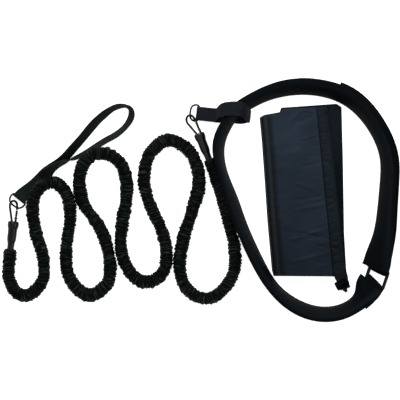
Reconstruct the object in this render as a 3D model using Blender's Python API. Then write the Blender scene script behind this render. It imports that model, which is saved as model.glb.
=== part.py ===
# Swim resistance belt: a padded waist belt, a ribbed bungee cord with a spring hook at each end,
# a webbing hand strap and a folded drawstring pouch, all lying on a flat surface.
# Units are metres and +Z is up. The origin is on that surface, under the middle of everything but the cord.
import math

import bmesh
import bpy
import numpy as np
from mathutils import Matrix, Vector

MM = 0.001
CLEARANCE = 0.3 * MM  # between neighbours that touch on the real belt
MIDDLE = (-3.2, -0.2)  # millimetres, what the places below have at the origin

# Webbing, shared by the hand strap, the tab, the ring tab and the tail
WEBBING_WIDTH = 25 * MM
WEBBING_THICKNESS = 2.0 * MM
STITCH_THREAD = 0.9 * MM
STITCH_LENGTH = 10 * MM  # of the box sewn across two plies
STITCH_WIDTH = 17.5 * MM
LOOP_STITCH_LENGTH = 8 * MM
LOOP_STITCH_WIDTH = 14 * MM
STITCH_CLOSE = 0.72  # how far the box's last side reaches back towards its start
RING_STITCH_DISTANCE = 38  # millimetres from the ring
LOOP_STITCH_DISTANCE = 8  # the same from the strap's end

# D rings
RING_WIRE = 3.0 * MM
RING_INNER_WIDTH = 26 * MM
RING_DEPTH = 17 * MM
RING_BOW_POWER = 3.0  # 2 is an ellipse, more is squarer
HANDLE_RING_Z = 9.4 * MM
BELT_RING_Z = 5.6 * MM
BELT_RING_TILT = 34.0  # degrees that the bow stands up from its bar

# Spring hooks
HOOK_WIRE = 4.2 * MM
HOOK_LENGTH = 41 * MM  # top of the hook to the middle of its eye
HOOK_WIDTH = 18 * MM  # between the wires' centre lines at the widest place
HOOK_WAIST = 9.8 * MM  # the same, at the sleeve
EYE_RADIUS = 4.5 * MM
NOSE_DISTANCE = HOOK_LENGTH - 24 * MM  # top of the hook to the end of its nose
GATE_PIVOT_DISTANCE = HOOK_LENGTH - 9 * MM
GATE_SLOT = 2.4 * MM
SLOT_REACH = 3.6 * MM  # each way from the pin
TONGUE_REACH = 2.0 * MM  # past the pin
PIN_WIRE = 1.5 * MM
PIN_HEAD = 0.8 * MM
BORE_REACH = 6 * MM  # each way from the middle of the wire
TONGUE_OVERLAP = 1.0 * MM
NOSE_GAP = 0.45 * MM
GATE_SPRING_WIRE = 0.5 * MM
GATE_SPRING_TURNS = 4
GATE_SPRING_RADIUS = 1.1 * MM

# Moulded sleeves over the hooks' eyes
SLEEVE_COLLAR = 20.4 * MM
SLEEVE_COLLAR_LENGTH = 12 * MM
SLEEVE_BODY = 16.6 * MM
SLEEVE_BODY_LENGTH = 34 * MM  # from the hook's end to the taper
SLEEVE_NECK = 12.4 * MM
SLEEVE_LENGTH = 50 * MM
SLEEVE_WALL = 1.6 * MM
SLEEVE_START = HOOK_LENGTH - 4.4 * MM  # from the top of the hook
CORD_LOOP_WIRE = 2.6 * MM
CRIMP_LENGTH = 7 * MM
CRIMP_WALL = 1.2 * MM
CRIMP_SHARE = 0.62  # where on the cord loop the crimp starts

# Bungee cord
CORD_DIAMETER = 22 * MM
CORD_VALLEY = 17.4 * MM
CORD_RIBS = 160
TUBE_DIAMETER = 8.4 * MM
TUBE_ROWS = 64
TUBE_START = HOOK_LENGTH + 26 * MM  # from the top of the hook

# Waist pad
PAD_WIDTH = 50 * MM
PAD_THICKNESS = 8 * MM
PAD_EDGE = 4.4 * MM
PAD_COVER = 1.0 * MM
PAD_SHOULDER = 0.93  # thickness at a fifth of the width, as a share of the middle's
PAD_END_ROWS = (3, 9, 13, 17, 21, 25, 32, 41, 52, 66, 84)  # millimetres from each end
PAD_ROWS = 30  # between them
BINDING_LENGTH = 3 * MM
PATCH_THICKNESS = 1.5 * MM
PATCH_WIDTH = 24 * MM
TAIL_LENGTH = 352 * MM  # from the pad's upper end to the tip
TAIL_SEWN = 41 * MM
TAIL_NEAREST = 9 * MM  # from the pad's end to where the webbing leaves its face
LOOP_PATCH_END = 420 * MM
HOOK_PATCH_LENGTH = 110 * MM
TAIL_EDGE_INSET = 0.5 * MM  # the tail's top edge below the pad's
RING_EDGE_INSET = 4.0 * MM  # the same, by the ring
RING_BLEND = 90 * MM  # length over which one becomes the other
LAYER_CLEARANCE = 0.6 * MM  # between the layers on the pad's outer face
TAIL_DROP = 2.73 * MM  # how much deeper the tail lies where it passes the ring's bar
TAIL_DROP_START = 10 * MM
TAIL_DROP_LENGTH = 44 * MM
RING_TAB_DROP_START = 6 * MM
RING_TAB_DROP_LENGTH = 20 * MM

# Rectangular ring between the pad's two ends
BUCKLE_WIRE = 4.0 * MM
BUCKLE_INNER_WIDTH = 30 * MM
BUCKLE_LENGTH = 34.4 * MM
BUCKLE_Z = 6.6 * MM
BUCKLE_ROLL = 8.0  # degrees that its outer side is raised
BUCKLE_CORNER = 4 * MM
RING_TAB_SEWN = 41 * MM

# Pouch
POUCH_SHEET = 1.6 * MM
POUCH_ROLL = 7.5 * MM
HEM_WIDTH = 23 * MM
HEM_THICKNESS = 5.6 * MM
HEM_CHANNEL_REACH = 2.0 * MM  # past the hem's ends
DRAWCORD_DIAMETER = 2.8 * MM
KNOT_DIAMETER = 6.4 * MM
LOCK_DIAMETER = 16 * MM
LOCK_LENGTH = 19 * MM
LOCK_WALL = 1.7 * MM
BUTTON_LENGTH = 15.5 * MM
BUTTON_TRAVEL = 3.4 * MM
BUTTON_WEB = 1.4 * MM  # between the button's slot and its inner end
LOCK_GAP = 2.0 * MM  # from the barrel's side to the knot
CORD_HOLE_REACH = 11 * MM
LOCK_SPRING_WIRE = 0.8 * MM
LOCK_SPRING_TURNS = 4

# Places on the surface, in millimetres
CORD_ROUTE = [
    (-346.3, -151.3), (-323.8, -172.3), (-296.5, -158.3), (-287.7, -115.9), (-301.4, -58.9), (-306, -6),
    (-290.5, 23.5), (-269, 30), (-248.4, 13.3), (-239.8, -20.9), (-246.6, -91), (-241.3, -139.7),
    (-206.7, -170.5), (-177, -155.3), (-168.8, -113), (-184.2, -54.6), (-214.4, -9), (-222.6, 40.1),
    (-206, 73), (-176.3, 80.8), (-150, 65.4), (-139, 24), (-147.6, -52.9), (-143.4, -111.2),
    (-102.7, -147.8), (-74.4, -132.7), (-66.7, -98), (-83.1, -39), (-105.7, 22), (-98, 79.5),
    (-62, 105.5), (-27.6, 88.6), (-9, 35), (-29, -44.2), (-42.8, -105), (-31.5, -159),
    (4.8, -177.3), (43.9, -149.3), (55.4, -105), (45, -41),
]
# Where the cord climbs over the hand strap: route point index and height of its centre line
CORD_HEIGHTS = {4: 11.6, 5: 14.8, 6: 20.4, 7: 21, 8: 11.6, 16: 11.6, 17: 24, 18: 37.5, 19: 37.5, 20: 24, 21: 11.6}
LEFT_HOOK_TOP = (-342, -2.6, 8.0)
LEFT_SLEEVE_TOP = (-341.4, -39.1, 10.6)
LEFT_SLEEVE_TOWARDS = (-346.9, -88, 11.4)
LEFT_HOOK_ROLL = 36.0
RIGHT_HOOK_TOP = (-29, 149.6, 6.8)
RIGHT_SLEEVE_TOP = (-9.6, 118.8, 11.4)
RIGHT_SLEEVE_TOWARDS = (9.3, 70.7, 11.4)
RIGHT_HOOK_ROLL = 36.0
HANDLE_RING_PLACE = (-331, 2.3)
HANDLE_RING_HEADING = 52.0  # degrees, the way that the strap leaves the ring
BELT_RING_PLACE = (-10.6, 154.4)
BELT_RING_HEADING = -8.0
# Middle of the pad as seen from above, its lean from flat in degrees and its lift off the surface
PAD_ROUTE = [
    (300, -148.5, 8, 8.6), (284.9, -170.4, 50, 4.6), (256.6, -194, 69, 0.4), (215.6, -203.4, 67.5, 0.4),
    (169.5, -191.9, 67, 0.4), (127.6, -159.4, 71, 0.4), (96.5, -110, 69, 0.4), (63.4, -35.4, 68.5, 0.4),
    (50.2, 1, 67.5, 0.4), (34, 47.5, 76, 0.4), (26.4, 91, 73.5, 0.6), (29.4, 109, 72.5, 1.4),
    (43.6, 136.6, 72.5, 3.0), (58, 156.5, 71, 3.0), (78, 170.3, 69, 3.0), (102.2, 183, 68, 1.0),
    (150, 197.6, 64.5, 0.4), (205.5, 197.2, 65, 0.4), (257, 179.3, 65, 0.4), (301.2, 134, 68.5, 0.4),
    (327, 68.4, 68, 0.4), (327, 35, 67, 0.4), (323.2, -18.3, 64, 0.4), (317, -71.8, 52, 2),
    (310.6, -102, 32, 5), (305.5, -125, 8, 7.3),
]
PAD_LOWER_HEADING = 231.0  # degrees, away from the pad's lower end
PAD_UPPER_HEADING = 243.5  # degrees, on past the pad's upper end
BUCKLE_MIDDLE = (309.4, -141.1)
BUCKLE_HEADING = 70.9  # degrees, from the lower bar to the upper bar
# Tab loop round the pad: along the tab from its ring's bar, height, and along the pad
TAB_SPLIT = (31, 23)
TAB_LOOP = [
    (33, 15, 0), (39, 8, 1), (47, 2.6, 2.5), (57, 1.3, 4), (71, 1.3, 4.5), (83.5, 1.4, 5), (89.5, 3.6, 5),
    (90.5, 9, 5.5), (87, 20, 8), (79.5, 37, 13), (71.5, 51, 16), (65, 56.4, 17), (57, 56.8, 17), (47, 56.4, 15),
    (38.5, 54.5, 12), (34, 49, 8.5), (32.5, 40, 4.5), (32, 31, 1.2),
]
TAB_PAD_HEADING = 55.0  # degrees, the way that the pad runs under the tab
# Hand strap beyond its sewn stem: middle as seen from above, lean from flat and lift
STRAP_ROUTE = [
    (-311, 19.5, 1.5, 0), (-290, 39, 2, 0), (-282.3, 47.4, 12, 0), (-274, 56, 42, 0), (-254.3, 70.3, 51, 0), (-238, 87.5, 57, 0),
    (-222.5, 105, 58, 0), (-208, 122.5, 58, 0), (-191, 141.5, 60, 0), (-174, 156, 66, 0),
    (-159, 165, 73, 0), (-146, 168, 77, 0), (-134, 164.5, 73, 0), (-129.8, 154, 64, 0),
    (-137.8, 134.4, 64, 0), (-155.8, 117.4, 67, 0), (-174.4, 107.1, 69, 0), (-192.8, 96.2, 64, 0),
    (-215.4, 78.2, 70, 0), (-237, 68.6, 100, 0.6), (-256, 63.6, 124, 1.8), (-268.6, 56.4, 136, 3.0),
    (-278.6, 47.6, 163, 5.0), (-288.5, 38.4, 180, 5.4),
]
STEM_ROWS = 2  # the strap's first points, which lie on its lower ply
POUCH_OUTLINE = [
    (100, 147), (108, 152), (136, 157), (139, 165), (238, 172), (247, 168), (250, 68), (252, -57),
    (255, -112), (257, -139), (228, -137), (175, -137), (125, -138), (122, -127), (114, -39), (109, 35), (104, 104),
]
POUCH_ROLL_OUTLINE = [
    (101.5, 145.5), (109, 150.5), (137, 155.5), (140, 163.5), (199, 167.6), (229.5, -135.5),
    (175, -135.5), (126, -136.5), (123.5, -126.5), (115.5, -39), (110.5, 35), (105.5, 104),
]
HEM_TOP = (212.2, 166.6)
HEM_BOTTOM = (242.6, -136)
LOCK_PLACE = (248, -151.6)
LOCK_HEADING = 28.0  # degrees, the way that the button points


# Curves and frames

def plan(degrees):
    """The level unit vector at an angle from +X."""
    angle = math.radians(degrees)
    return Vector((math.cos(angle), math.sin(angle), 0))


def place(x, y, z=0.0):
    return Vector((x - MIDDLE[0], y - MIDDLE[1], z)) * MM


def smooth_through(values, start_slope=None, end_slope=None):
    """Second-order smooth curve through rows of numbers, spaced by the distance between their first two."""
    rows = np.array(values, float)
    along = np.concatenate([[0], np.cumsum(np.linalg.norm(np.diff(rows[:, :2], axis=0), axis=1))])
    count = len(rows)
    step = np.diff(along)
    matrix = np.zeros((count, count))
    right = np.zeros_like(rows)
    for i in range(1, count - 1):
        matrix[i, i - 1 : i + 2] = step[i - 1], 2 * (step[i - 1] + step[i]), step[i]
        right[i] = 6 * ((rows[i + 1] - rows[i]) / step[i] - (rows[i] - rows[i - 1]) / step[i - 1])
    matrix[0, 0] = matrix[-1, -1] = 1
    if start_slope is not None:
        matrix[0, :2] = 2 * step[0], step[0]
        right[0] = 6 * ((rows[1] - rows[0]) / step[0] - np.array(start_slope, float))
    if end_slope is not None:
        matrix[-1, -2:] = step[-1], 2 * step[-1]
        right[-1] = 6 * (np.array(end_slope, float) - (rows[-1] - rows[-2]) / step[-1])
    bend = np.linalg.solve(matrix, right)

    def at(distance):
        i = int(np.clip(np.searchsorted(along, distance) - 1, 0, count - 2))
        a = (along[i + 1] - distance) / step[i]
        b = 1 - a
        curve = ((a**3 - a) * bend[i] + (b**3 - b) * bend[i + 1]) * step[i] ** 2 / 6
        return a * rows[i] + b * rows[i + 1] + curve

    return at, along[-1]


def even_points(points, count):
    """Points spaced evenly along a line of many."""
    line = np.array(points, float)
    along = np.concatenate([[0], np.cumsum(np.linalg.norm(np.diff(line, axis=0), axis=1))])
    wanted = np.linspace(0, along[-1], count)
    return np.stack([np.interp(wanted, along, line[:, k]) for k in range(3)], axis=1)


def eased(fraction):
    """0 to 1 with level ends."""
    fraction = min(max(fraction, 0.0), 1.0)
    return fraction * fraction * (3 - 2 * fraction)


# Making objects

def material(name, colour, roughness, metallic=0.0):
    made = bpy.data.materials.new(name)
    made.use_nodes = True
    shader = made.node_tree.nodes["Principled BSDF"]
    shader.inputs["Base Color"].default_value = (*colour, 1)
    shader.inputs["Roughness"].default_value = roughness
    shader.inputs["Metallic"].default_value = metallic
    return made


def keep(name, mesh, finish, origin=None):
    """A scene object for a mesh in world coordinates, with its origin where it turns or slides."""
    if origin is not None:
        mesh.transform(Matrix.Translation(-Vector(origin)))
    mesh.materials.clear()
    mesh.materials.append(finish)
    mesh.shade_smooth()
    mesh.set_sharp_from_angle(angle=math.radians(40))
    made = bpy.data.objects.new(name, mesh)
    made.location = Vector(origin) if origin is not None else (0, 0, 0)
    bpy.context.scene.collection.objects.link(made)
    return made


def mesh_of(points, faces):
    mesh = bpy.data.meshes.new("shape")
    mesh.from_pydata([tuple(point) for point in points], [], faces)
    work = bmesh.new()
    work.from_mesh(mesh)
    bmesh.ops.recalc_face_normals(work, faces=work.faces)
    work.to_mesh(mesh)
    work.free()
    return mesh


def lofted(rings, closed=False, inner=None):
    """A skin over rings of points. With inner rings it's a tube open at both ends."""
    rings = [list(ring) for ring in rings]
    size = len(rings[0])
    points = [point for ring in rings for point in ring]
    faces = []

    def band(first, second, flip):
        for k in range(size):
            a, b, c, d = first + k, first + (k + 1) % size, second + (k + 1) % size, second + k
            for face in ((a, b, c), (a, c, d)):
                faces.append(face[::-1] if flip else face)

    steps = len(rings) if closed else len(rings) - 1
    for i in range(steps):
        band(i * size, ((i + 1) % len(rings)) * size, False)
    if inner is not None:
        start = len(points)
        points += [point for ring in inner for point in ring]
        for i in range(len(inner) - 1):
            band(start + i * size, start + (i + 1) * size, True)
        band(0, start, True)
        band((len(rings) - 1) * size, start + (len(inner) - 1) * size, False)
    elif not closed:
        faces.append(list(range(size))[::-1])
        faces.append([(len(rings) - 1) * size + k for k in range(size)])
    return mesh_of(points, faces)


def strip(rows, width, thickness):
    """A flat band through rows of (middle, direction across it), and where it lies on a face, that face's way."""
    rings = []
    for i, (middle, across, *facing) in enumerate(rows):
        before = rows[max(i - 1, 0)][0]
        after = rows[min(i + 1, len(rows) - 1)][0]
        normal = facing[0] if facing else (after - before).normalized().cross(across).normalized()
        side = across * width / 2
        skin = normal * thickness / 2
        rings.append([middle - side - skin, middle + side - skin, middle + side + skin, middle - side + skin])
    return lofted(rings)


def tube(points, diameter, resolution=2, closed=False, radii=None):
    """A round wire, cord or tube along a line of points, as a mesh."""
    curve = bpy.data.curves.new("line", "CURVE")
    curve.dimensions = "3D"
    curve.bevel_depth = diameter / 2
    curve.bevel_resolution = resolution
    curve.use_fill_caps = True
    spline = curve.splines.new("POLY")
    spline.points.add(len(points) - 1)
    for i, point in enumerate(points):
        spline.points[i].co = (*point, 1)
        spline.points[i].radius = 1 if radii is None else radii[i]
    spline.use_cyclic_u = closed
    holder = bpy.data.objects.new("line", curve)
    bpy.context.scene.collection.objects.link(holder)
    mesh = bpy.data.meshes.new_from_object(holder.evaluated_get(bpy.context.evaluated_depsgraph_get()))
    bpy.data.objects.remove(holder)
    work = bmesh.new()
    work.from_mesh(mesh)
    bmesh.ops.remove_doubles(work, verts=work.verts, dist=0.01 * MM)
    bmesh.ops.recalc_face_normals(work, faces=work.faces)
    work.to_mesh(mesh)
    work.free()
    return mesh


def turned(profile, start, axis, sides=20):
    """A solid turned about an axis. A profile is (radius, distance along) pairs; a hollow one is a closed loop."""
    axis = Vector(axis).normalized()
    across = axis.orthogonal().normalized()
    third = axis.cross(across)
    hollow = all(radius > 0 for radius, along in profile)
    points = []
    rings = []
    for radius, along in profile:
        middle = Vector(start) + axis * along
        if radius == 0:
            rings.append([len(points)] * sides)
            points.append(middle)
            continue
        rings.append(list(range(len(points), len(points) + sides)))
        for k in range(sides):
            angle = 2 * math.pi * k / sides
            points.append(middle + (across * math.cos(angle) + third * math.sin(angle)) * radius)
    faces = []
    for i in range(len(rings) if hollow else len(rings) - 1):
        first = rings[i]
        second = rings[(i + 1) % len(rings)]
        for k in range(sides):
            after = (k + 1) % sides
            corners = list(dict.fromkeys([first[k], first[after], second[after], second[k]]))
            faces.append(corners)
    return mesh_of(points, faces)


def block(middle, along, across, up, size):
    """A box with its own three directions."""
    length, width, height = (value / 2 for value in size)
    rings = []
    for end in (-1, 1):
        base = middle + along * length * end
        rings.append([base + across * width * a + up * height * b for a, b in ((-1, -1), (1, -1), (1, 1), (-1, 1))])
    return lofted(rings)


def combined(mesh, other, operation):
    """A mesh with another one cut from it or joined to it."""
    body = bpy.data.objects.new("body", mesh)
    tool = bpy.data.objects.new("tool", other)
    for made in (body, tool):
        bpy.context.scene.collection.objects.link(made)
    change = body.modifiers.new("change", "BOOLEAN")
    change.operation = operation
    change.solver = "EXACT"
    change.object = tool
    result = bpy.data.meshes.new_from_object(body.evaluated_get(bpy.context.evaluated_depsgraph_get()))
    for made in (body, tool):
        bpy.data.objects.remove(made)
    return result


# Finishes

def finishes():
    return {
        "webbing": material("black_webbing", (0.012, 0.013, 0.014), 0.7),
        "fabric": material("ruched_nylon", (0.013, 0.014, 0.014), 0.8),
        "pad": material("satin_nylon", (0.011, 0.013, 0.014), 0.55),
        "navy": material("navy_nylon", (0.016, 0.022, 0.036), 0.5),
        "steel": material("black_steel", (0.02, 0.02, 0.02), 0.35, 0.9),
        "plastic": material("black_plastic", (0.014, 0.014, 0.015), 0.35),
        "rubber": material("latex", (0.35, 0.28, 0.16), 0.6),
        "bright": material("spring_steel", (0.45, 0.45, 0.46), 0.3, 1.0),
        "foam": material("foam", (0.05, 0.05, 0.05), 0.9),
        "velcro": material("hook_and_loop", (0.01, 0.01, 0.011), 0.95),
    }


# Stitching

def box_stitch(name, middle, along, across, up, length, width, finish):
    """One thread laid as a box that is left a little open."""
    x = along * length / 2
    y = across * width / 2
    corners = [(-1, -1), (1, -1), (1, 1), (-1, 1), (-1, -STITCH_CLOSE)]
    points = [middle + x * a + y * b + up * (STITCH_THREAD / 2 + CLEARANCE) for a, b in corners]
    keep(name, tube(points, STITCH_THREAD, 2), finish)


# D rings

def ring_axes(heading, tilt=0.0):
    """The ring's bar direction, and the direction from its bar to its bow."""
    bar = plan(heading - 90)
    bow = -plan(heading) * math.cos(math.radians(tilt)) + Vector((0, 0, math.sin(math.radians(tilt))))
    return bar, bow


def d_ring(name, bar_middle, heading, tilt, finish):
    bar, bow = ring_axes(heading, tilt)
    half = (RING_INNER_WIDTH + RING_WIRE) / 2
    count = 20
    points = []
    for i in range(count + 1):
        angle = math.pi * i / count
        across = math.copysign(abs(math.cos(angle)) ** (2 / RING_BOW_POWER), math.cos(angle))
        deep = math.sin(angle) ** (2 / RING_BOW_POWER)
        points.append(bar_middle + bar * half * across + bow * RING_DEPTH * deep)
    return keep(name, tube(points, RING_WIRE, 2, closed=True), finish, bar_middle)


# Hand strap

def around_bar(middle, heading, wire, turns=9):
    """Rows of webbing that goes round a bar: up its far side from below to above."""
    radius = wire / 2 + CLEARANCE + WEBBING_THICKNESS / 2
    ahead = -plan(heading)
    across = -plan(heading - 90)
    rows = []
    for i in range(turns):
        angle = -math.pi / 2 + math.pi * i / (turns - 1)
        offset = ahead * radius * math.cos(angle) + Vector((0, 0, radius * math.sin(angle)))
        rows.append((middle + offset, across))
    return rows, radius


def leaning(x, y, lean, lift, tangent):
    """A row of a band that stands on its lower edge and leans up to the left of its way."""
    sideways = Vector((-tangent[1], tangent[0], 0)).normalized()
    angle = math.radians(lean)
    across = sideways * math.cos(angle) + Vector((0, 0, math.sin(angle)))
    height = WEBBING_WIDTH / 2 * math.sin(abs(angle)) + WEBBING_THICKNESS / 2 * abs(math.cos(angle))
    return place(x, y, max(lift, CLEARANCE / MM)) + Vector((0, 0, height)), across


def handle_ply_heights():
    """Heights of the middles of the strap's lower and upper ply where they lie flat."""
    lower = CLEARANCE + WEBBING_THICKNESS / 2
    return lower, lower + WEBBING_THICKNESS + CLEARANCE


def hand_strap(finish):
    ring = place(*HANDLE_RING_PLACE) + Vector((0, 0, HANDLE_RING_Z))
    wrap, radius = around_bar(ring, HANDLE_RING_HEADING, RING_WIRE)
    low, high = handle_ply_heights()
    start = (HANDLE_RING_PLACE[0], HANDLE_RING_PLACE[1], 0, 0)
    heading = plan(HANDLE_RING_HEADING)
    at, length = smooth_through([start, *STRAP_ROUTE], start_slope=(heading.x, heading.y, 0, 0))
    stem = float(np.linalg.norm(np.array(STRAP_ROUTE[0][:2]) - np.array(HANDLE_RING_PLACE)))
    stem += sum(
        math.dist(STRAP_ROUTE[i][:2], STRAP_ROUTE[i + 1][:2]) for i in range(STEM_ROWS - 1)
    )

    def row(distance, ply):
        x, y, lean, lift = at(distance)
        tangent = at(min(distance + 1, length)) - at(max(distance - 1, 0))
        middle, across = leaning(x, y, max(lean, 0), lift, tangent)
        drop = eased(distance / 32)
        near = eased(distance / 20)
        apart = (radius * (1 - near) + (high - low) / 2 * near) * ply
        flat = HANDLE_RING_Z * (1 - drop) + (low + high) / 2 * drop + apart
        beyond = eased((distance - stem) / 12)
        middle.z = max(middle.z, flat * (1 - beyond))
        return middle, across

    lower = [row(distance, -1) for distance in np.linspace(stem, 5, 9)]
    count = 62
    upper = [row(distance, 1) for distance in np.linspace(5, length, count)]
    keep("handle_webbing", strip(lower + wrap + upper, WEBBING_WIDTH, WEBBING_THICKNESS), finish["webbing"])
    for name, distance, lift, size, width in (
        ("handle_ring_stitching", RING_STITCH_DISTANCE, 0, STITCH_LENGTH, STITCH_WIDTH),
        ("handle_loop_stitching", length - LOOP_STITCH_DISTANCE, CLEARANCE, LOOP_STITCH_LENGTH, LOOP_STITCH_WIDTH),
    ):
        middle, across = row(distance, 1)
        ahead = (row(distance + 2, 1)[0] - row(distance - 2, 1)[0]).normalized()
        up = ahead.cross(across).normalized()
        up = up if up.z > 0 else -up
        top = middle + up * (WEBBING_THICKNESS / 2 + lift)
        box_stitch(name, top, ahead, across, up, size, width, finish["webbing"])
    d_ring("handle_d_ring", ring, HANDLE_RING_HEADING, 0, finish["steel"])


# Spring hooks

def hook_axes(top, sleeve_top, roll):
    """The hook's own directions: along it away from its top, across it towards the gate, and out of its plane."""
    along = (sleeve_top - top).normalized()
    level = Vector((0, 0, 1)).cross(along).normalized()
    turn = Matrix.Rotation(math.radians(roll), 3, along)
    across = turn @ level
    return along, across, along.cross(across)


def hook_outline():
    """The wire's middle line as (distance from the top, distance across): base, eye, long leg, bow and nose."""
    half = HOOK_WIDTH / 2
    waist = HOOK_WAIST / 2
    line = [(GATE_PIVOT_DISTANCE - HOOK_WIRE * 0.55, waist + 0.4 * MM), (GATE_PIVOT_DISTANCE + HOOK_WIRE, waist)]
    for degrees in range(120, -121, -30):
        angle = math.radians(degrees)
        line.append((HOOK_LENGTH + EYE_RADIUS * math.cos(angle), EYE_RADIUS * math.sin(angle)))
    line.append((GATE_PIVOT_DISTANCE + HOOK_WIRE * 0.4, -waist))
    for i in range(13):
        angle = math.radians(-100 + 200 * i / 12)
        line.append((half - half * math.cos(angle), half * math.sin(angle)))
    line.append((NOSE_DISTANCE, half * 0.93))
    return line


def spring_hook(side, top, sleeve_top, sleeve_towards, roll, finish):
    """A hook, its sprung gate, and the moulded sleeve that holds it to the cord."""
    top = place(*top)
    along = (place(*sleeve_top) - top).normalized()
    sleeve_top = top + along * SLEEVE_START
    run = (place(*sleeve_towards) - sleeve_top).normalized()
    sleeve_end = sleeve_top + run * SLEEVE_LENGTH
    along, across, out = hook_axes(top, sleeve_top, roll)

    def spot(distance, sideways, height=0.0):
        return top + along * distance + across * sideways + out * height

    outline = hook_outline()
    frame = tube([spot(*point) for point in outline], HOOK_WIRE, 2)
    pivot = spot(GATE_PIVOT_DISTANCE, outline[0][1])
    slot = block(spot(GATE_PIVOT_DISTANCE, outline[0][1]), along, across, out,
                 (SLOT_REACH * 2, HOOK_WIRE * 2, GATE_SLOT))
    bore_radius = PIN_WIRE / 2 + CLEARANCE
    bore_profile = [(0, -BORE_REACH), (bore_radius, -BORE_REACH), (bore_radius, BORE_REACH), (0, BORE_REACH)]
    bore = turned(bore_profile, pivot, out, 12)
    frame = combined(frame, slot, "DIFFERENCE")
    frame = combined(frame, bore, "DIFFERENCE")
    keep(f"{side}_hook_frame", frame, finish["steel"])

    # The gate is a tube with a tongue that turns on the pin in the frame's slot
    nose = spot(NOSE_DISTANCE + HOOK_WIRE * 0.12, outline[-1][1])
    reach = (pivot - nose).normalized()
    gate_length = (pivot - nose).length
    start = nose + reach * NOSE_GAP
    body_end = gate_length - SLOT_REACH - 3 * CLEARANCE
    gate = turned([(0, 0), (HOOK_WIRE / 2, 0), (HOOK_WIRE / 2, body_end), (0, body_end)], start, reach, 14)
    gate_across = out.cross(reach).normalized()
    tongue_start = body_end - TONGUE_OVERLAP
    tongue_length = (pivot - start).length + TONGUE_REACH - tongue_start
    tongue = block(start + reach * (tongue_start + tongue_length / 2), reach, gate_across, out,
                   (tongue_length, HOOK_WIRE * 0.76, GATE_SLOT - 2 * CLEARANCE))
    gate = combined(gate, tongue, "UNION")
    gate = combined(gate, bore, "DIFFERENCE")
    spring_bore = GATE_SPRING_RADIUS + GATE_SPRING_WIRE / 2 + CLEARANCE
    hole_end = body_end - 2 * TONGUE_OVERLAP
    hole_start = -TONGUE_OVERLAP
    hole = turned([(0, hole_start), (spring_bore, hole_start), (spring_bore, hole_end), (0, hole_end)],
                  start, reach, 12)
    gate = combined(gate, hole, "DIFFERENCE")
    keep(f"{side}_hook_gate", gate, finish["steel"], pivot)
    head = PIN_WIRE * 0.95
    half = HOOK_WIRE / 2 + CLEARANCE
    far = half + PIN_HEAD
    shank = PIN_WIRE / 2
    pin_profile = [(0, -far), (head, -far), (head, -half), (shank, -half), (shank, half), (head, half), (head, far)]
    pin = turned([*pin_profile, (0, far)], pivot, out, 12)
    keep(f"{side}_gate_pin", pin, finish["bright"])
    coil = []
    spring_start = 2 * GATE_SPRING_WIRE
    spring_length = hole_end - spring_start - 2.8 * GATE_SPRING_WIRE
    for i in range(GATE_SPRING_TURNS * 6 + 1):
        angle = 2 * math.pi * i / 6
        offset = (gate_across * math.cos(angle) + out * math.sin(angle)) * GATE_SPRING_RADIUS
        coil.append(start + reach * (spring_start + spring_length * i / (GATE_SPRING_TURNS * 6)) + offset)
    keep(f"{side}_gate_spring", tube(coil, GATE_SPRING_WIRE, 0), finish["bright"])

    # Sleeve, cord loop and crimp
    collar, body, neck = SLEEVE_COLLAR / 2, SLEEVE_BODY / 2, SLEEVE_NECK / 2
    outer = [
        (collar * 0.9, 0), (collar, 1.6 * MM), (collar, SLEEVE_COLLAR_LENGTH - 2.4 * MM),
        (body, SLEEVE_COLLAR_LENGTH + 1.6 * MM), (body, SLEEVE_BODY_LENGTH), (neck, SLEEVE_BODY_LENGTH + 6 * MM),
        (neck, SLEEVE_LENGTH),
    ]
    inner = [(radius - SLEEVE_WALL, distance) for radius, distance in outer[::-1]]
    keep(f"{side}_end_sleeve", turned(outer + inner, sleeve_top, run, 18), finish["plastic"])
    eye = spot(HOOK_LENGTH, 0)
    wide = HOOK_WIRE / 2 + CORD_LOOP_WIRE / 2 + 0.7 * MM
    narrow = CORD_LOOP_WIRE / 2 + 0.6 * MM
    loop_start = eye + run * (EYE_RADIUS - wide)
    loop_length = TUBE_START - HOOK_LENGTH - EYE_RADIUS + wide - CORD_LOOP_WIRE
    half_loop = [(0.3 * wide, 0.71 * wide), (wide, wide)]
    half_loop += [(loop_length * 0.6, narrow), (loop_length - narrow, narrow)]
    away = (out - run * out.dot(run)).normalized()
    loop = [loop_start] + [loop_start + run * x + away * y for x, y in half_loop]
    loop += [loop_start + run * loop_length] + [loop_start + run * x - away * y for x, y in half_loop[::-1]]
    keep(f"{side}_cord_loop", tube(loop, CORD_LOOP_WIRE, 1, closed=True), finish["fabric"])
    crimp_inner = narrow + CORD_LOOP_WIRE / 2 + CLEARANCE
    crimp_start = loop_start + run * (loop_length * CRIMP_SHARE)
    crimp = [(crimp_inner + CRIMP_WALL, 0), (crimp_inner + CRIMP_WALL, CRIMP_LENGTH), (crimp_inner, CRIMP_LENGTH),
             (crimp_inner, 0)]
    keep(f"{side}_crimp", turned(crimp, crimp_start, run, 14), finish["bright"])
    return sleeve_top, sleeve_end, run


# Bungee cord

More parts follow.
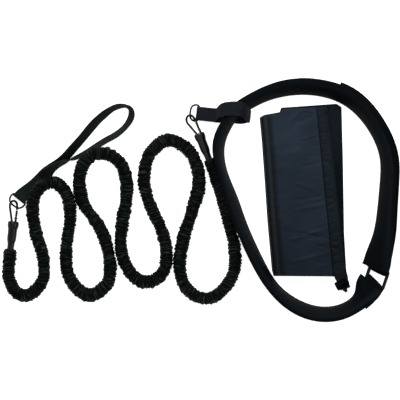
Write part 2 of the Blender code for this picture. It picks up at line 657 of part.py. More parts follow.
def cord_line(left, right):
    """The cord's middle line between its two sleeves, and the two straight stubs into them."""
    left_end, left_run = left[1], left[2]
    right_end, right_run = right[1], right[2]
    straight = CORD_DIAMETER
    level = CORD_DIAMETER / 2 + CLEARANCE
    heights = [CORD_HEIGHTS.get(i, level / MM) for i in range(len(CORD_ROUTE))]
    rows = [tuple((left_end + left_run * straight) / MM)]
    rows += [tuple(place(x, y, height) / MM) for (x, y), height in zip(CORD_ROUTE, heights)]
    rows.append(tuple((right_end + right_run * straight) / MM))
    at, length = smooth_through(rows, start_slope=tuple(left_run), end_slope=tuple(-right_run))
    line = [Vector(at(distance)) * MM for distance in np.linspace(0, length, 900)]
    for point in line:
        point.z = max(point.z, level)
    first = left_end + left_run * CLEARANCE
    last = right_end + right_run * CLEARANCE
    return [first, *line, last]


def least_gap(points, diameter):
    """How near the tube comes to itself, between points further apart along it than four diameters."""
    line = np.array(points)
    along = np.concatenate([[0], np.cumsum(np.linalg.norm(np.diff(line, axis=0), axis=1))])
    apart = np.linalg.norm(line[:, None] - line[None], axis=2)
    apart[np.abs(along[:, None] - along[None]) < 4 * diameter] = np.inf
    return apart.min() - diameter, along[-1]


def bungee(left, right, finish):
    line = cord_line(left, right)
    tops = even_points(line, 2 * CORD_RIBS + 1)
    gap, length = least_gap(tops, CORD_DIAMETER)
    print(f"bungee cord: {length:.3f} m long, least gap to itself {gap / MM:.2f} mm")
    ends = 3  # the rings at each end that stay at the valley's size, as a straight collar
    radii = []
    for i in range(len(tops)):
        valley = i % 2 == 0 or i < ends or i >= len(tops) - ends
        radii.append(CORD_VALLEY / CORD_DIAMETER if valley else 1.0)
    sleeve = tube(tops, CORD_DIAMETER, 2, radii=radii)
    bore_diameter = TUBE_DIAMETER + 6 * CLEARANCE
    left_run, right_run = left[2], right[2]
    bore_points = even_points(line, TUBE_ROWS)
    bore_points = [line[0] - left_run * 3 * MM, *bore_points, line[-1] - right_run * 3 * MM]
    sleeve = combined(sleeve, tube(bore_points, bore_diameter, 2), "DIFFERENCE")
    keep("bungee_sleeve", sleeve, finish["fabric"])
    inside = TUBE_START - SLEEVE_START
    first = left[0] + left_run * inside
    last = right[0] + right_run * inside
    keep("latex_tube", tube([first, *even_points(line, TUBE_ROWS), last], TUBE_DIAMETER, 1), finish["rubber"])


# Waist pad

def pad_frames():
    """A function from the distance along the pad to its lowest outer corner and its two directions."""
    away = plan(PAD_LOWER_HEADING)
    onward = plan(PAD_UPPER_HEADING)
    at, length = smooth_through(
        PAD_ROUTE, start_slope=(away.x, away.y, 0.6, -0.05), end_slope=(onward.x, onward.y, -0.8, 0.05)
    )

    def frame(distance):
        """Distance is measured in metres from the upper end, back along the pad."""
        distance = length - distance / MM
        x, y, lean, lift = at(min(max(distance, 0), length))
        tangent = at(min(distance + 1, length)) - at(max(distance - 1, 0))
        heading = Vector((tangent[0], tangent[1], 0)).normalized()
        outward = Vector((-heading.y, heading.x, 0))
        angle = math.radians(min(max(lean, 0), 85))
        up = Vector((0, 0, 1))
        width = outward * math.cos(angle) + up * math.sin(angle)
        skin = up * math.cos(angle) - outward * math.sin(angle)
        shift = (PAD_WIDTH * math.cos(angle) - PAD_THICKNESS * math.sin(angle)) / 2
        corner = place(x, y, max(lift, 0.3)) - outward * shift
        beyond = min(distance, 0) + max(distance - length, 0)
        return corner + heading * beyond * MM, width, skin, heading

    return frame, length * MM


def pad_section():
    """The pad's outline across its width and thickness, flat outside and crowned on the wearer's side."""
    edge = PAD_EDGE
    return [
        (0, 0.25 * edge), (0.025 * PAD_WIDTH, 0), (0.35 * PAD_WIDTH, 0), (0.7 * PAD_WIDTH, 0),
        (0.975 * PAD_WIDTH, 0), (PAD_WIDTH, 0.25 * edge),
        (PAD_WIDTH, edge), (0.8 * PAD_WIDTH, PAD_SHOULDER * PAD_THICKNESS), (0.5 * PAD_WIDTH, PAD_THICKNESS),
        (0.2 * PAD_WIDTH, PAD_SHOULDER * PAD_THICKNESS), (0, edge),
    ]


def inset(section, by):
    """The same outline, smaller by that much all round."""
    middle_width, middle_thickness = PAD_WIDTH / 2, PAD_THICKNESS / 2
    return [
        (
            middle_width + (across - middle_width) * (1 - 2 * by / PAD_WIDTH),
            middle_thickness + (deep - middle_thickness) * (1 - 2 * by / PAD_THICKNESS),
        )
        for across, deep in section
    ]


def ring_at(frame, distance, section):
    corner, width, skin, _ = frame(distance)
    return [corner + width * across + skin * deep for across, deep in section]


def pad_stops(length, first, last):
    """Distances of the pad's rows, closer at its ends where it twists, from one distance to another."""
    near = [stop * MM for stop in PAD_END_ROWS]
    far = [length - stop for stop in near[::-1]]
    stops = [*near, *np.linspace(near[-1], far[0], PAD_ROWS + 2)[1:-1], *far]
    return [stop for stop in stops if first - 1 * MM < stop < last + 1 * MM]


def waist_pad(finish):
    frame, length = pad_frames()
    section = pad_section()
    stops = pad_stops(length, BINDING_LENGTH, length - BINDING_LENGTH)
    outer = [ring_at(frame, stop, section) for stop in stops]
    inner = [ring_at(frame, stop, inset(section, PAD_COVER)) for stop in stops]
    keep("waist_cover", lofted(outer, inner=inner), finish["pad"])
    foam_section = inset(section, PAD_COVER + CLEARANCE)
    foam = [ring_at(frame, stop, foam_section) for stop in stops]
    keep("waist_foam", lofted(foam), finish["foam"])
    for name, first, last in (
        ("upper_end_binding", 0, BINDING_LENGTH - CLEARANCE),
        ("lower_end_binding", length - BINDING_LENGTH + CLEARANCE, length),
    ):
        rings = [ring_at(frame, stop, section) for stop in (first, last)]
        keep(name, lofted(rings), finish["webbing"])
    return frame, length


def layer(frame, pad_length, distance, deep, way):
    """A row of webbing lying against the pad's outer face, its middle that deep below the face."""
    corner, width, skin, _ = frame(distance)
    near_end = min(distance, pad_length - distance)
    inset_here = RING_EDGE_INSET + (TAIL_EDGE_INSET - RING_EDGE_INSET) * eased(near_end / RING_BLEND)
    across = PAD_WIDTH - inset_here - WEBBING_WIDTH / 2
    return corner + width * across - skin * deep, width, skin * way


def buckle_axes():
    """Along the ring's bars, and out of its plane."""
    roll = math.radians(BUCKLE_ROLL)
    sideways = plan(BUCKLE_HEADING - 90) * math.cos(roll) + Vector((0, 0, math.sin(roll)))
    return sideways, sideways.cross(plan(BUCKLE_HEADING))


def buckle_bars():
    """Middles of the ring's lower and upper bar."""
    heading = plan(BUCKLE_HEADING)
    middle = place(*BUCKLE_MIDDLE) + Vector((0, 0, BUCKLE_Z))
    return middle - heading * BUCKLE_LENGTH / 2, middle + heading * BUCKLE_LENGTH / 2


def buckle_ring(finish):
    lower, upper = buckle_bars()
    heading = plan(BUCKLE_HEADING)
    sideways, _ = buckle_axes()
    half_width = (BUCKLE_INNER_WIDTH + BUCKLE_WIRE) / 2
    middle = (lower + upper) / 2
    points = []
    for quarter in range(4):
        x = half_width - BUCKLE_CORNER
        y = BUCKLE_LENGTH / 2 - BUCKLE_CORNER
        x, y = [(x, y), (-x, y), (-x, -y), (x, -y)][quarter]
        for i in range(4):
            angle = math.radians(90 * quarter + 30 * i)
            points.append(
                middle + sideways * (x + BUCKLE_CORNER * math.cos(angle))
                + heading * (y + BUCKLE_CORNER * math.sin(angle))
            )
    keep("buckle_ring", tube(points, BUCKLE_WIRE, 2, closed=True), finish["steel"])


def sewn_loop(bar, inward, radius, goal, turns=9):
    """Rows round a ring's bar, from above it, round its inner side, to below it. Each edge is turned towards the
    row of webbing that the loop leads to."""
    sideways, up = buckle_axes()
    rows = []
    for i in range(turns):
        edges = []
        for side in (-1, 1):
            start = bar + sideways * WEBBING_WIDTH / 2 * side
            away = goal[0] + goal[1] * WEBBING_WIDTH / 2 * side - start
            slope = math.atan2(away.dot(up), -away.dot(inward))
            angle = math.pi / 2 - slope - math.pi * i / (turns - 1)
            edges.append(start + inward * radius * math.cos(angle) + up * radius * math.sin(angle))
        rows.append(((edges[0] + edges[1]) / 2, (edges[1] - edges[0]) / WEBBING_WIDTH))
    return rows


def tail(frame, length, finish):
    """The belt's free end: sewn under the pad's end, through the ring and back along the pad's outer face."""
    lower_bar, upper_bar = buckle_bars()
    radius = BUCKLE_WIRE / 2 + LAYER_CLEARANCE + WEBBING_THICKNESS / 2
    sewn_depth = 2 * LAYER_CLEARANCE + WEBBING_THICKNESS / 2
    tail_depth = LAYER_CLEARANCE * 3 + PATCH_THICKNESS * 2 + WEBBING_THICKNESS / 2
    sewn = pad_stops(length, TAIL_NEAREST, TAIL_SEWN)
    rows = [layer(frame, length, distance, sewn_depth, 1) for distance in sewn[::-1]]
    rows += sewn_loop(upper_bar, -plan(BUCKLE_HEADING), radius, rows[-1])
    for distance in pad_stops(length, TAIL_NEAREST, TAIL_LENGTH):
        drop = TAIL_DROP * (1 - eased((distance - TAIL_DROP_START) / TAIL_DROP_LENGTH))
        rows.append(layer(frame, length, distance, tail_depth + drop, -1))
    keep("tail_webbing", strip(rows, WEBBING_WIDTH, WEBBING_THICKNESS), finish["webbing"])
    patch_depth = LAYER_CLEARANCE + PATCH_THICKNESS / 2
    stops = pad_stops(length, TAIL_SEWN + 5 * MM, LOOP_PATCH_END)
    rows = [layer(frame, length, distance, patch_depth, -1) for distance in stops]
    keep("loop_patch", strip(rows, PATCH_WIDTH, PATCH_THICKNESS), finish["velcro"])
    hook_depth = 2 * LAYER_CLEARANCE + PATCH_THICKNESS * 1.5
    stops = pad_stops(length, TAIL_LENGTH - HOOK_PATCH_LENGTH, TAIL_LENGTH)
    rows = [layer(frame, length, distance, hook_depth, -1) for distance in stops]
    keep("hook_patch", strip(rows, PATCH_WIDTH, PATCH_THICKNESS), finish["velcro"])


def ring_tab(frame, length, finish):
    """Webbing sewn under the pad's lower end, which holds the ring by its lower bar."""
    lower_bar, _ = buckle_bars()
    radius = BUCKLE_WIRE / 2 + LAYER_CLEARANCE + WEBBING_THICKNESS / 2
    first = 2 * LAYER_CLEARANCE + WEBBING_THICKNESS / 2
    second = first + WEBBING_THICKNESS + LAYER_CLEARANCE
    sewn = pad_stops(length, length - RING_TAB_SEWN, length - TAIL_NEAREST)
    rows = [layer(frame, length, distance, first, -1) for distance in sewn]
    rows += sewn_loop(lower_bar, plan(BUCKLE_HEADING), radius, rows[-1])
    for distance in sewn[::-1]:
        from_end = length - distance
        drop = 1 - eased((from_end - RING_TAB_DROP_START) / RING_TAB_DROP_LENGTH)
        deep = second + (BUCKLE_WIRE - CLEARANCE) * drop
        rows.append(layer(frame, length, distance, deep, 1))
    keep("ring_tab", strip(rows, WEBBING_WIDTH, WEBBING_THICKNESS), finish["webbing"])


# Tab round the pad

def tab(finish):
    """Webbing sewn round the belt ring's bar, which opens into a loop round the pad."""
    ring = place(*BELT_RING_PLACE) + Vector((0, 0, BELT_RING_Z))
    wrap, radius = around_bar(ring, BELT_RING_HEADING, RING_WIRE)
    ahead = plan(BELT_RING_HEADING)
    across = -plan(BELT_RING_HEADING - 90)
    beside = plan(TAB_PAD_HEADING)
    rise = (TAB_SPLIT[1] * MM - BELT_RING_Z) / (TAB_SPLIT[0] * MM)
    pitch = WEBBING_THICKNESS + CLEARANCE

    def stem(distance, ply):
        near = eased(distance / (16 * MM))
        apart = radius * (1 - near) + pitch / 2 * near * abs(ply)
        apart = apart if ply > 0 else -apart
        height = BELT_RING_Z + rise * distance * eased(distance / (10 * MM)) + apart
        return place(*BELT_RING_PLACE) + ahead * distance + Vector((0, 0, height)), across

    end = TAB_SPLIT[0] * MM
    rows = [stem(distance, -3) for distance in np.linspace(end * 0.62, end, 3)]
    at, length = smooth_through([*TAB_LOOP])
    for distance in np.linspace(0, length, 40):
        x, z, aside = at(distance)
        middle = place(*BELT_RING_PLACE) + ahead * x * MM + beside * aside * MM + Vector((0, 0, z * MM))
        rows.append((middle, across))
    rows += [stem(distance, 1) for distance in np.linspace(end, 4 * MM, 6)]
    rows += wrap[::-1]
    rows += [stem(distance, -1) for distance in np.linspace(4 * MM, end, 6)]
    keep("tab_webbing", strip(rows, WEBBING_WIDTH, WEBBING_THICKNESS), finish["webbing"])
    middle, _ = stem(end * 0.72, 1)
    slope = (stem(end * 0.8, 1)[0] - stem(end * 0.6, 1)[0]).normalized()
    up = across.cross(-slope).normalized()
    top = middle + up * WEBBING_THICKNESS / 2
    box_stitch("tab_stitching", top, slope, across, up, STITCH_LENGTH, STITCH_WIDTH, finish["webbing"])
    d_ring("belt_d_ring", ring, BELT_RING_HEADING, BELT_RING_TILT, finish["steel"])


# Pouch

def slab(outline, bottom, top, crown=0.0):
    """A plate with an outline, its upper edge drawn in by the crown."""
    middle = np.mean(np.array(outline, float), axis=0)
    low, shoulder, high = [], [], []
    for x, y in outline:
        reach = math.dist((x, y), middle)
        share = 1 - crown / MM / reach
        low.append(place(x, y) + Vector((0, 0, bottom)))
        shoulder.append(place(x, y) + Vector((0, 0, bottom + (top - bottom) * 0.55)))
        high.append(place(middle[0] + (x - middle[0]) * share, middle[1] + (y - middle[1]) * share))
        high[-1].z = top
    rings = [low, shoulder, high] if crown else [low, [point + Vector((0, 0, top - bottom)) for point in low]]
    return lofted(rings)


def pouch(finish):
    sheet_top = CLEARANCE + POUCH_SHEET
    base = sheet_top + CLEARANCE
    keep("pouch_back", slab(POUCH_OUTLINE, CLEARANCE, sheet_top), finish["navy"])
    keep("pouch_front", slab(POUCH_ROLL_OUTLINE, base, base + POUCH_ROLL, 5 * MM), finish["navy"])
    hem_start, hem_end = place(*HEM_TOP), place(*HEM_BOTTOM)
    run = (hem_end - hem_start).normalized()
    across = Vector((-run.y, run.x, 0))
    up = Vector((0, 0, 1))
    rings = []
    for point in (hem_start, hem_end):
        ring = []
        for k in range(10):
            angle = 2 * math.pi * (k + 0.5) / 10
            wide = HEM_WIDTH / 2 * math.copysign(abs(math.cos(angle)) ** 0.5, math.cos(angle))
            high = HEM_THICKNESS / 2 * math.copysign(abs(math.sin(angle)) ** 0.7, math.sin(angle))
            ring.append(point + across * wide + up * (base + HEM_THICKNESS / 2 + high))
        rings.append(ring)
    lift = up * (base + HEM_THICKNESS / 2)
    bore = (DRAWCORD_DIAMETER / 2 + 2 * CLEARANCE)
    reach = (hem_end - hem_start).length + HEM_CHANNEL_REACH
    before = -HEM_CHANNEL_REACH
    channel = turned([(0, before), (bore, before), (bore, reach), (0, reach)], hem_start + lift, run, 10)
    keep("pouch_hem", combined(lofted(rings), channel, "DIFFERENCE"), finish["navy"])

    # Drawcord, its lock and its knot
    lock = place(*LOCK_PLACE) + up * (LOCK_DIAMETER / 2 + CLEARANCE)
    axis = plan(LOCK_HEADING)
    through = plan(LOCK_HEADING - 90)
    knot = lock + through * (LOCK_DIAMETER / 2 + LOCK_GAP + KNOT_DIAMETER / 2)
    route = [hem_start + lift + run * 4 * MM, hem_end + lift - run * 3 * MM, hem_end + lift + run * 2 * MM,
             lock - through * (LOCK_DIAMETER / 2 + LOCK_GAP), knot - through * (KNOT_DIAMETER / 2 + CLEARANCE)]
    keep("drawcord", tube(route, DRAWCORD_DIAMETER, 2), finish["fabric"])
    ball = KNOT_DIAMETER / 2
    turns = [(ball * math.sin(math.pi * i / 6), -ball * math.cos(math.pi * i / 6)) for i in range(7)]
    turns = [(0 if i in (0, 6) else radius, along) for i, (radius, along) in enumerate(turns)]
    keep("drawcord_knot", turned(turns, knot, through, 12), finish["fabric"])
    bartack_middle = hem_start + run * 12 * MM + across * (HEM_WIDTH * 0.3)
    box_stitch("hem_bartack", bartack_middle + up * (base + HEM_THICKNESS), run, across, up, 6 * MM, 3 * MM,
               finish["webbing"])
    outer = LOCK_DIAMETER / 2
    inner = outer - LOCK_WALL
    hole = DRAWCORD_DIAMETER / 2 + 2 * CLEARANCE
    button_end = -hole - BUTTON_WEB
    floor = button_end - BUTTON_TRAVEL - LOCK_SPRING_WIRE * (LOCK_SPRING_TURNS + 1)
    mouth = floor - LOCK_WALL + LOCK_LENGTH
    shell = [(0, floor - LOCK_WALL), (outer * 0.86, floor - LOCK_WALL), (outer, floor), (outer, mouth),
             (inner, mouth), (inner, floor), (0, floor)]
    far = CORD_HOLE_REACH
    cord_hole = turned([(0, -far), (hole, -far), (hole, far), (0, far)], lock, through, 12)
    barrel = combined(turned(shell, lock, axis, 18), cord_hole, "DIFFERENCE")
    keep("cord_lock_barrel", barrel, finish["plastic"])
    side = inner - CLEARANCE
    button = [(0, button_end), (side, button_end), (side, button_end + BUTTON_LENGTH - 1 * MM),
              (side * 0.8, button_end + BUTTON_LENGTH), (0, button_end + BUTTON_LENGTH)]
    slot = block(lock + axis * BUTTON_TRAVEL / 2, axis, through, axis.cross(through),
                 (2 * hole + BUTTON_TRAVEL, 2 * far, 2 * hole))
    button = combined(turned(button, lock, axis, 18), slot, "DIFFERENCE")
    keep("cord_lock_button", button, finish["plastic"], lock)
    coil = []
    spring_radius = side - LOCK_SPRING_WIRE
    spring_start = floor + LOCK_SPRING_WIRE / 2 + CLEARANCE
    spring_rise = button_end - CLEARANCE - LOCK_SPRING_WIRE / 2 - spring_start
    sideways = axis.cross(through)
    for i in range(LOCK_SPRING_TURNS * 8 + 1):
        angle = 2 * math.pi * i / 8
        offset = (through * math.cos(angle) + sideways * math.sin(angle)) * spring_radius
        coil.append(lock + axis * (spring_start + spring_rise * i / (LOCK_SPRING_TURNS * 8)) + offset)
    keep("cord_lock_spring", tube(coil, LOCK_SPRING_WIRE, 0), finish["bright"])


def build():
    for old in list(bpy.data.objects):
        bpy.data.objects.remove(old)
    finish = finishes()
    left = spring_hook("left", LEFT_HOOK_TOP, LEFT_SLEEVE_TOP, LEFT_SLEEVE_TOWARDS, LEFT_HOOK_ROLL, finish)
    right = spring_hook("right", RIGHT_HOOK_TOP, RIGHT_SLEEVE_TOP, RIGHT_SLEEVE_TOWARDS, RIGHT_HOOK_ROLL, finish)
    bungee(left, right, finish)
    hand_strap(finish)
    frame, length = waist_pad(finish)
    buckle_ring(finish)
    tail(frame, length, finish)
    ring_tab(frame, length, finish)
    tab(finish)
    pouch(finish)


build()
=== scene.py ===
# Dressed model of the swim resistance belt: bungee cord, hand strap, padded belt and folded pouch.
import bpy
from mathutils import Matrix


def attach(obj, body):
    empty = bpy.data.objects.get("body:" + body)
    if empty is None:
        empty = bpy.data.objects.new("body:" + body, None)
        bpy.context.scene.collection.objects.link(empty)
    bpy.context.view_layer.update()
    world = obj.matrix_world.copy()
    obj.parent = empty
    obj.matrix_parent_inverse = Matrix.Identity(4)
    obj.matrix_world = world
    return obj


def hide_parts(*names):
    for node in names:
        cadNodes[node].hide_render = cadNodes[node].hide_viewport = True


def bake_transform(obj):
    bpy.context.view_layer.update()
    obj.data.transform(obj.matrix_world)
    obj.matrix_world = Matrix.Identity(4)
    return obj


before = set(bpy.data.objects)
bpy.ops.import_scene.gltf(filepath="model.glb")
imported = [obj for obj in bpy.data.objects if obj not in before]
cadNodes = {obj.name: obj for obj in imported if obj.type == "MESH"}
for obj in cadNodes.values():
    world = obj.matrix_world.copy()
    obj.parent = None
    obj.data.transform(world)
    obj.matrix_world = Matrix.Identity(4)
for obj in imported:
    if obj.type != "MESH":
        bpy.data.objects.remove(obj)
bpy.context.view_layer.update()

import math

import bmesh
import bpy
import numpy as np
from mathutils import Vector, noise

surfaceMiddle = (-0.0032, -0.0002)  # the place, as read in the routes below, that lies at the origin
upwards = Vector((0, 0, 1))


# Studio

studio = {
    "viewMiddle": (-0.004, -0.0009),
    "viewHeight": 2.7,
    "lens": 135,
    "sensorWidth": 36,
    "worldLight": 0.45,
    "keyLight": {"place": (-0.3, 1.25, 1.6), "size": 0.9, "energy": 25.0},
    "fillLight": {"place": (1.4, -0.5, 1.3), "size": 1.4, "energy": 6.0},
    "floorReach": 3.0,
    "floorColour": 0.82,
    "floorGlow": 0.88,
}


def addNode(tree, kind, inputs=None, **settings):
    made = tree.nodes.new(kind)
    for key, value in settings.items():
        setattr(made, key, value)
    for key, value in (inputs or {}).items():
        if isinstance(value, bpy.types.NodeSocket):
            tree.links.new(value, made.inputs[key])
        else:
            made.inputs[key].default_value = value
    return made


def maths(tree, operation, first, second=None, third=None):
    # one Math node, whose inputs are numbers or sockets
    inputs = {i: value for i, value in enumerate((first, second, third)) if value is not None}
    return addNode(tree, "ShaderNodeMath", inputs, operation=operation).outputs[0]


def layFloor():
    mesh = bpy.data.meshes.new("studioFloor")
    reach = studio["floorReach"]
    corners = [(-reach, -reach, 0), (reach, -reach, 0), (reach, reach, 0), (-reach, reach, 0)]
    mesh.from_pydata(corners, [], [(0, 1, 2, 3)])
    finish = bpy.data.materials.new("paleFloor")
    finish.use_nodes = True
    tree = finish.node_tree
    tree.nodes.clear()
    tone = studio["floorColour"]
    matte = addNode(tree, "ShaderNodeBsdfDiffuse", {"Color": (tone, tone, tone, 1)})
    path = addNode(tree, "ShaderNodeLightPath")
    seen = maths(tree, "MAXIMUM", path.outputs["Is Camera Ray"], path.outputs["Is Glossy Ray"])
    seen = maths(tree, "MAXIMUM", seen, path.outputs["Is Transmission Ray"])
    brightness = maths(tree, "MULTIPLY", seen, studio["floorGlow"])
    glow = addNode(tree, "ShaderNodeEmission", {"Strength": brightness})
    both = addNode(tree, "ShaderNodeAddShader", {0: matte.outputs[0], 1: glow.outputs[0]})
    addNode(tree, "ShaderNodeOutputMaterial", {"Surface": both.outputs[0]})
    mesh.materials.append(finish)
    floor = bpy.data.objects.new("studioFloor", mesh)
    bpy.context.scene.collection.objects.link(floor)


def areaLamp(name, place, size, energy):
    # a round lamp that points at the origin
    data = bpy.data.lights.new(name, "AREA")
    data.shape = "DISK"
    data.size = size
    data.energy = energy
    lamp = bpy.data.objects.new(name, data)
    lamp.location = place
    lamp.rotation_euler = (-Vector(place)).to_track_quat("-Z", "Y").to_euler()
    bpy.context.scene.collection.objects.link(lamp)


def setStudio():
    scene = bpy.context.scene
    scene.view_settings.view_transform = "Standard"
    data = bpy.data.cameras.new("overhead")
    data.lens = studio["lens"]
    data.sensor_width = studio["sensorWidth"]
    data.clip_end = 20
    camera = bpy.data.objects.new("overhead", data)
    camera.location = (*studio["viewMiddle"], studio["viewHeight"])
    scene.collection.objects.link(camera)
    scene.camera = camera
    world = bpy.data.worlds.new("paleStudio")
    world.use_nodes = True
    sky = world.node_tree.nodes["Background"]
    sky.inputs["Color"].default_value = (1, 1, 1, 1)
    path = addNode(world.node_tree, "ShaderNodeLightPath")
    level = studio["worldLight"]
    strength = maths(world.node_tree, "MULTIPLY_ADD", path.outputs["Is Camera Ray"], 1.0 - level, level)
    world.node_tree.links.new(strength, sky.inputs["Strength"])
    scene.world = world
    layFloor()
    areaLamp("keyLamp", **studio["keyLight"])
    areaLamp("fillLamp", **studio["fillLight"])
    print("studio set")


setStudio()


# Curves and frames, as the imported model's

def level(degrees):
    # the level unit vector at an angle from +X
    angle = math.radians(degrees)
    return Vector((math.cos(angle), math.sin(angle), 0))


def place(x, y, z=0.0):
    return Vector((x - surfaceMiddle[0], y - surfaceMiddle[1], z))


def smoothThrough(values, startSlope=None, endSlope=None):
    # a smooth curve through rows of numbers, spaced by the distance between their first two
    rows = np.array(values, float)
    along = np.concatenate([[0], np.cumsum(np.linalg.norm(np.diff(rows[:, :2], axis=0), axis=1))])
    count = len(rows)
    step = np.diff(along)
    matrix = np.zeros((count, count))
    right = np.zeros_like(rows)
    for i in range(1, count - 1):
        matrix[i, i - 1 : i + 2] = step[i - 1], 2 * (step[i - 1] + step[i]), step[i]
        right[i] = 6 * ((rows[i + 1] - rows[i]) / step[i] - (rows[i] - rows[i - 1]) / step[i - 1])
    matrix[0, 0] = matrix[-1, -1] = 1
    if startSlope is not None:
        matrix[0, :2] = 2 * step[0], step[0]
        right[0] = 6 * ((rows[1] - rows[0]) / step[0] - np.array(startSlope, float))
    if endSlope is not None:
        matrix[-1, -2:] = step[-1], 2 * step[-1]
        right[-1] = 6 * (np.array(endSlope, float) - (rows[-1] - rows[-2]) / step[-1])
    bend = np.linalg.solve(matrix, right)

    def at(distance):
        i = int(np.clip(np.searchsorted(along, distance) - 1, 0, count - 2))
        a = (along[i + 1] - distance) / step[i]
        b = 1 - a
        curve = ((a**3 - a) * bend[i] + (b**3 - b) * bend[i + 1]) * step[i] ** 2 / 6
        return a * rows[i] + b * rows[i + 1] + curve

    return at, along[-1]


def evenPoints(points, count):
    line = np.array(points, float)
    along = np.concatenate([[0], np.cumsum(np.linalg.norm(np.diff(line, axis=0), axis=1))])
    wanted = np.linspace(0, along[-1], count)
    return np.stack([np.interp(wanted, along, line[:, k]) for k in range(3)], axis=1)


def lineLength(points):
    line = np.array(points, float)
    return float(np.linalg.norm(np.diff(line, axis=0), axis=1).sum())


def eased(fraction):
    fraction = min(max(fraction, 0.0), 1.0)
    return fraction * fraction * (3 - 2 * fraction)


# Making pieces

def addPiece(name, mesh, body, finish=None, replaces=()):
    if finish is not None:
        mesh.materials.clear()
        mesh.materials.append(finish)
    piece = bpy.data.objects.new(name, mesh)
    bpy.context.scene.collection.objects.link(piece)
    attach(piece, body)
    if replaces:
        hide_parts(*replaces)
    return piece


def newTree(name):
    # a Geometry Nodes tree that takes and gives a geometry
    tree = bpy.data.node_groups.new(name, "GeometryNodeTree")
    tree.interface.new_socket(name="Geometry", in_out="INPUT", socket_type="NodeSocketGeometry")
    tree.interface.new_socket(name="Geometry", in_out="OUTPUT", socket_type="NodeSocketGeometry")
    start = tree.nodes.new("NodeGroupInput")
    end = tree.nodes.new("NodeGroupOutput")
    return tree, start, end


def treeInput(tree, name, kind, value):
    socket = tree.interface.new_socket(name=name, in_out="INPUT", socket_type=kind)
    socket.default_value = value
    return socket.identifier


def endTree(tree, end, geometry, finish):
    # real, smooth faces with their material, as every tree here ends
    solid = addNode(tree, "GeometryNodeRealizeInstances", {0: geometry})
    smooth = addNode(tree, "GeometryNodeSetShadeSmooth", {0: solid.outputs[0]})
    covered = addNode(tree, "GeometryNodeSetMaterial", {0: smooth.outputs[0], "Material": finish})
    tree.links.new(covered.outputs[0], end.inputs[0])


def grown(name, guide, tree, values):
    # the plain mesh that a tree makes of a guide mesh
    holder = bpy.data.objects.new(name, guide)
    bpy.context.scene.collection.objects.link(holder)
    change = holder.modifiers.new("grow", "NODES")
    change.node_group = tree
    for identifier, value in values.items():
        change[identifier] = value
    mesh = bpy.data.meshes.new_from_object(holder.evaluated_get(bpy.context.evaluated_depsgraph_get()))
    bpy.data.objects.remove(holder)
    mesh.name = name
    return mesh


def guideLines(name, lines):
    # one mesh of edges through several lines of points
    points, edges = [], []
    for line in lines:
        first = len(points)
        points += [tuple(point) for point in line]
        edges += [(first + i, first + i + 1) for i in range(len(line) - 1)]
    mesh = bpy.data.meshes.new(name)
    mesh.from_pydata(points, edges, [])
    return mesh


# Finishes

def newFinish(name, colour, roughness, metallic=0.0, specular=0.5):
    finish = bpy.data.materials.new(name)
    finish.use_nodes = True
    tree = finish.node_tree
    shader = tree.nodes["Principled BSDF"]
    shader.inputs["Base Color"].default_value = (*colour, 1)
    shader.inputs["Roughness"].default_value = roughness
    shader.inputs["Metallic"].default_value = metallic
    shader.inputs["Specular IOR Level"].default_value = specular
    return finish, tree, shader


def noiseOf(tree, vector, scale, detail=2.0, roughness=0.5):
    made = addNode(tree, "ShaderNodeTexNoise", {"Scale": scale, "Detail": detail, "Roughness": roughness})
    if vector is not None:
        tree.links.new(vector, made.inputs["Vector"])
    return made.outputs[0]


def blendColours(tree, factor, first, second, kind="MIX"):
    made = addNode(tree, "ShaderNodeMix", data_type="RGBA", blend_type=kind)
    for socket, value in ((made.inputs[0], factor), (made.inputs[6], first), (made.inputs[7], second)):
        if isinstance(value, bpy.types.NodeSocket):
            tree.links.new(value, socket)
        else:
            socket.default_value = value if socket == made.inputs[0] else (*value, 1)
    return made.outputs[2]


def rampOf(tree, factor, low, high, toLow=0.0, toHigh=1.0):
    made = addNode(tree, "ShaderNodeMapRange", {0: factor, 1: low, 2: high, 3: toLow, 4: toHigh})
    return made.outputs[0]


def bumpOf(tree, height, distance, strength=1.0, before=None):
    made = addNode(tree, "ShaderNodeBump", {"Height": height, "Distance": distance, "Strength": strength})
    if before is not None:
        tree.links.new(before, made.inputs["Normal"])
    return made.outputs[0]


def objectSpot(tree):
    return addNode(tree, "ShaderNodeTexCoord").outputs["Object"]


def clothPlace(tree):
    # the distances across a cloth and along it, from its UV map in metres
    made = addNode(tree, "ShaderNodeSeparateXYZ", {0: addNode(tree, "ShaderNodeTexCoord").outputs["UV"]})
    return made.outputs[0], made.outputs[1]


def joinFinish(tree, shader, tone, roughness=None, normal=None):
    for name, socket in (("Base Color", tone), ("Roughness", roughness), ("Normal", normal)):
        if socket is not None:
            tree.links.new(socket, shader.inputs[name])


def ruchedNylon():
    finish, tree, shader = newFinish("ruchedNylon", (0.01, 0.012, 0.012), 0.6, specular=0.05)
    crest = addNode(tree, "ShaderNodeAttribute", attribute_name="crest").outputs["Fac"]
    spot = objectSpot(tree)
    patches = noiseOf(tree, spot, 24, 2)
    paintedGlintSpots = noiseOf(tree, spot, 75, 2, 0.6)
    threads = noiseOf(tree, spot, 1500, 1)
    folds = noiseOf(tree, spot, 420, 3, 0.6)
    # valleys get painted shade from the crest attribute, crests keep the cloth's tone, and the highest crests
    # get painted glints in spots
    paintedValleyShade, crown, paintedGlint = (0.0007, 0.001, 0.001), (0.0115, 0.0152, 0.0155), (0.03, 0.037, 0.037)
    tone = blendColours(tree, rampOf(tree, crest, 0.45, 1.0), paintedValleyShade, crown)
    paintedGlintMask = maths(tree, "MULTIPLY", rampOf(tree, paintedGlintSpots, 0.45, 0.7), rampOf(tree, crest, 0.7, 1.0))
    tone = blendColours(tree, paintedGlintMask, tone, paintedGlint)
    tint = blendColours(tree, patches, (0.72, 0.88, 0.84), (1.2, 1.05, 1.12))
    tone = blendColours(tree, 1.0, tone, tint, "MULTIPLY")
    normal = bumpOf(tree, threads, 0.00012, 0.6, bumpOf(tree, folds, 0.0009, 0.8))
    joinFinish(tree, shader, tone, rampOf(tree, folds, 0.3, 0.7, 0.5, 0.75), normal)
    return finish


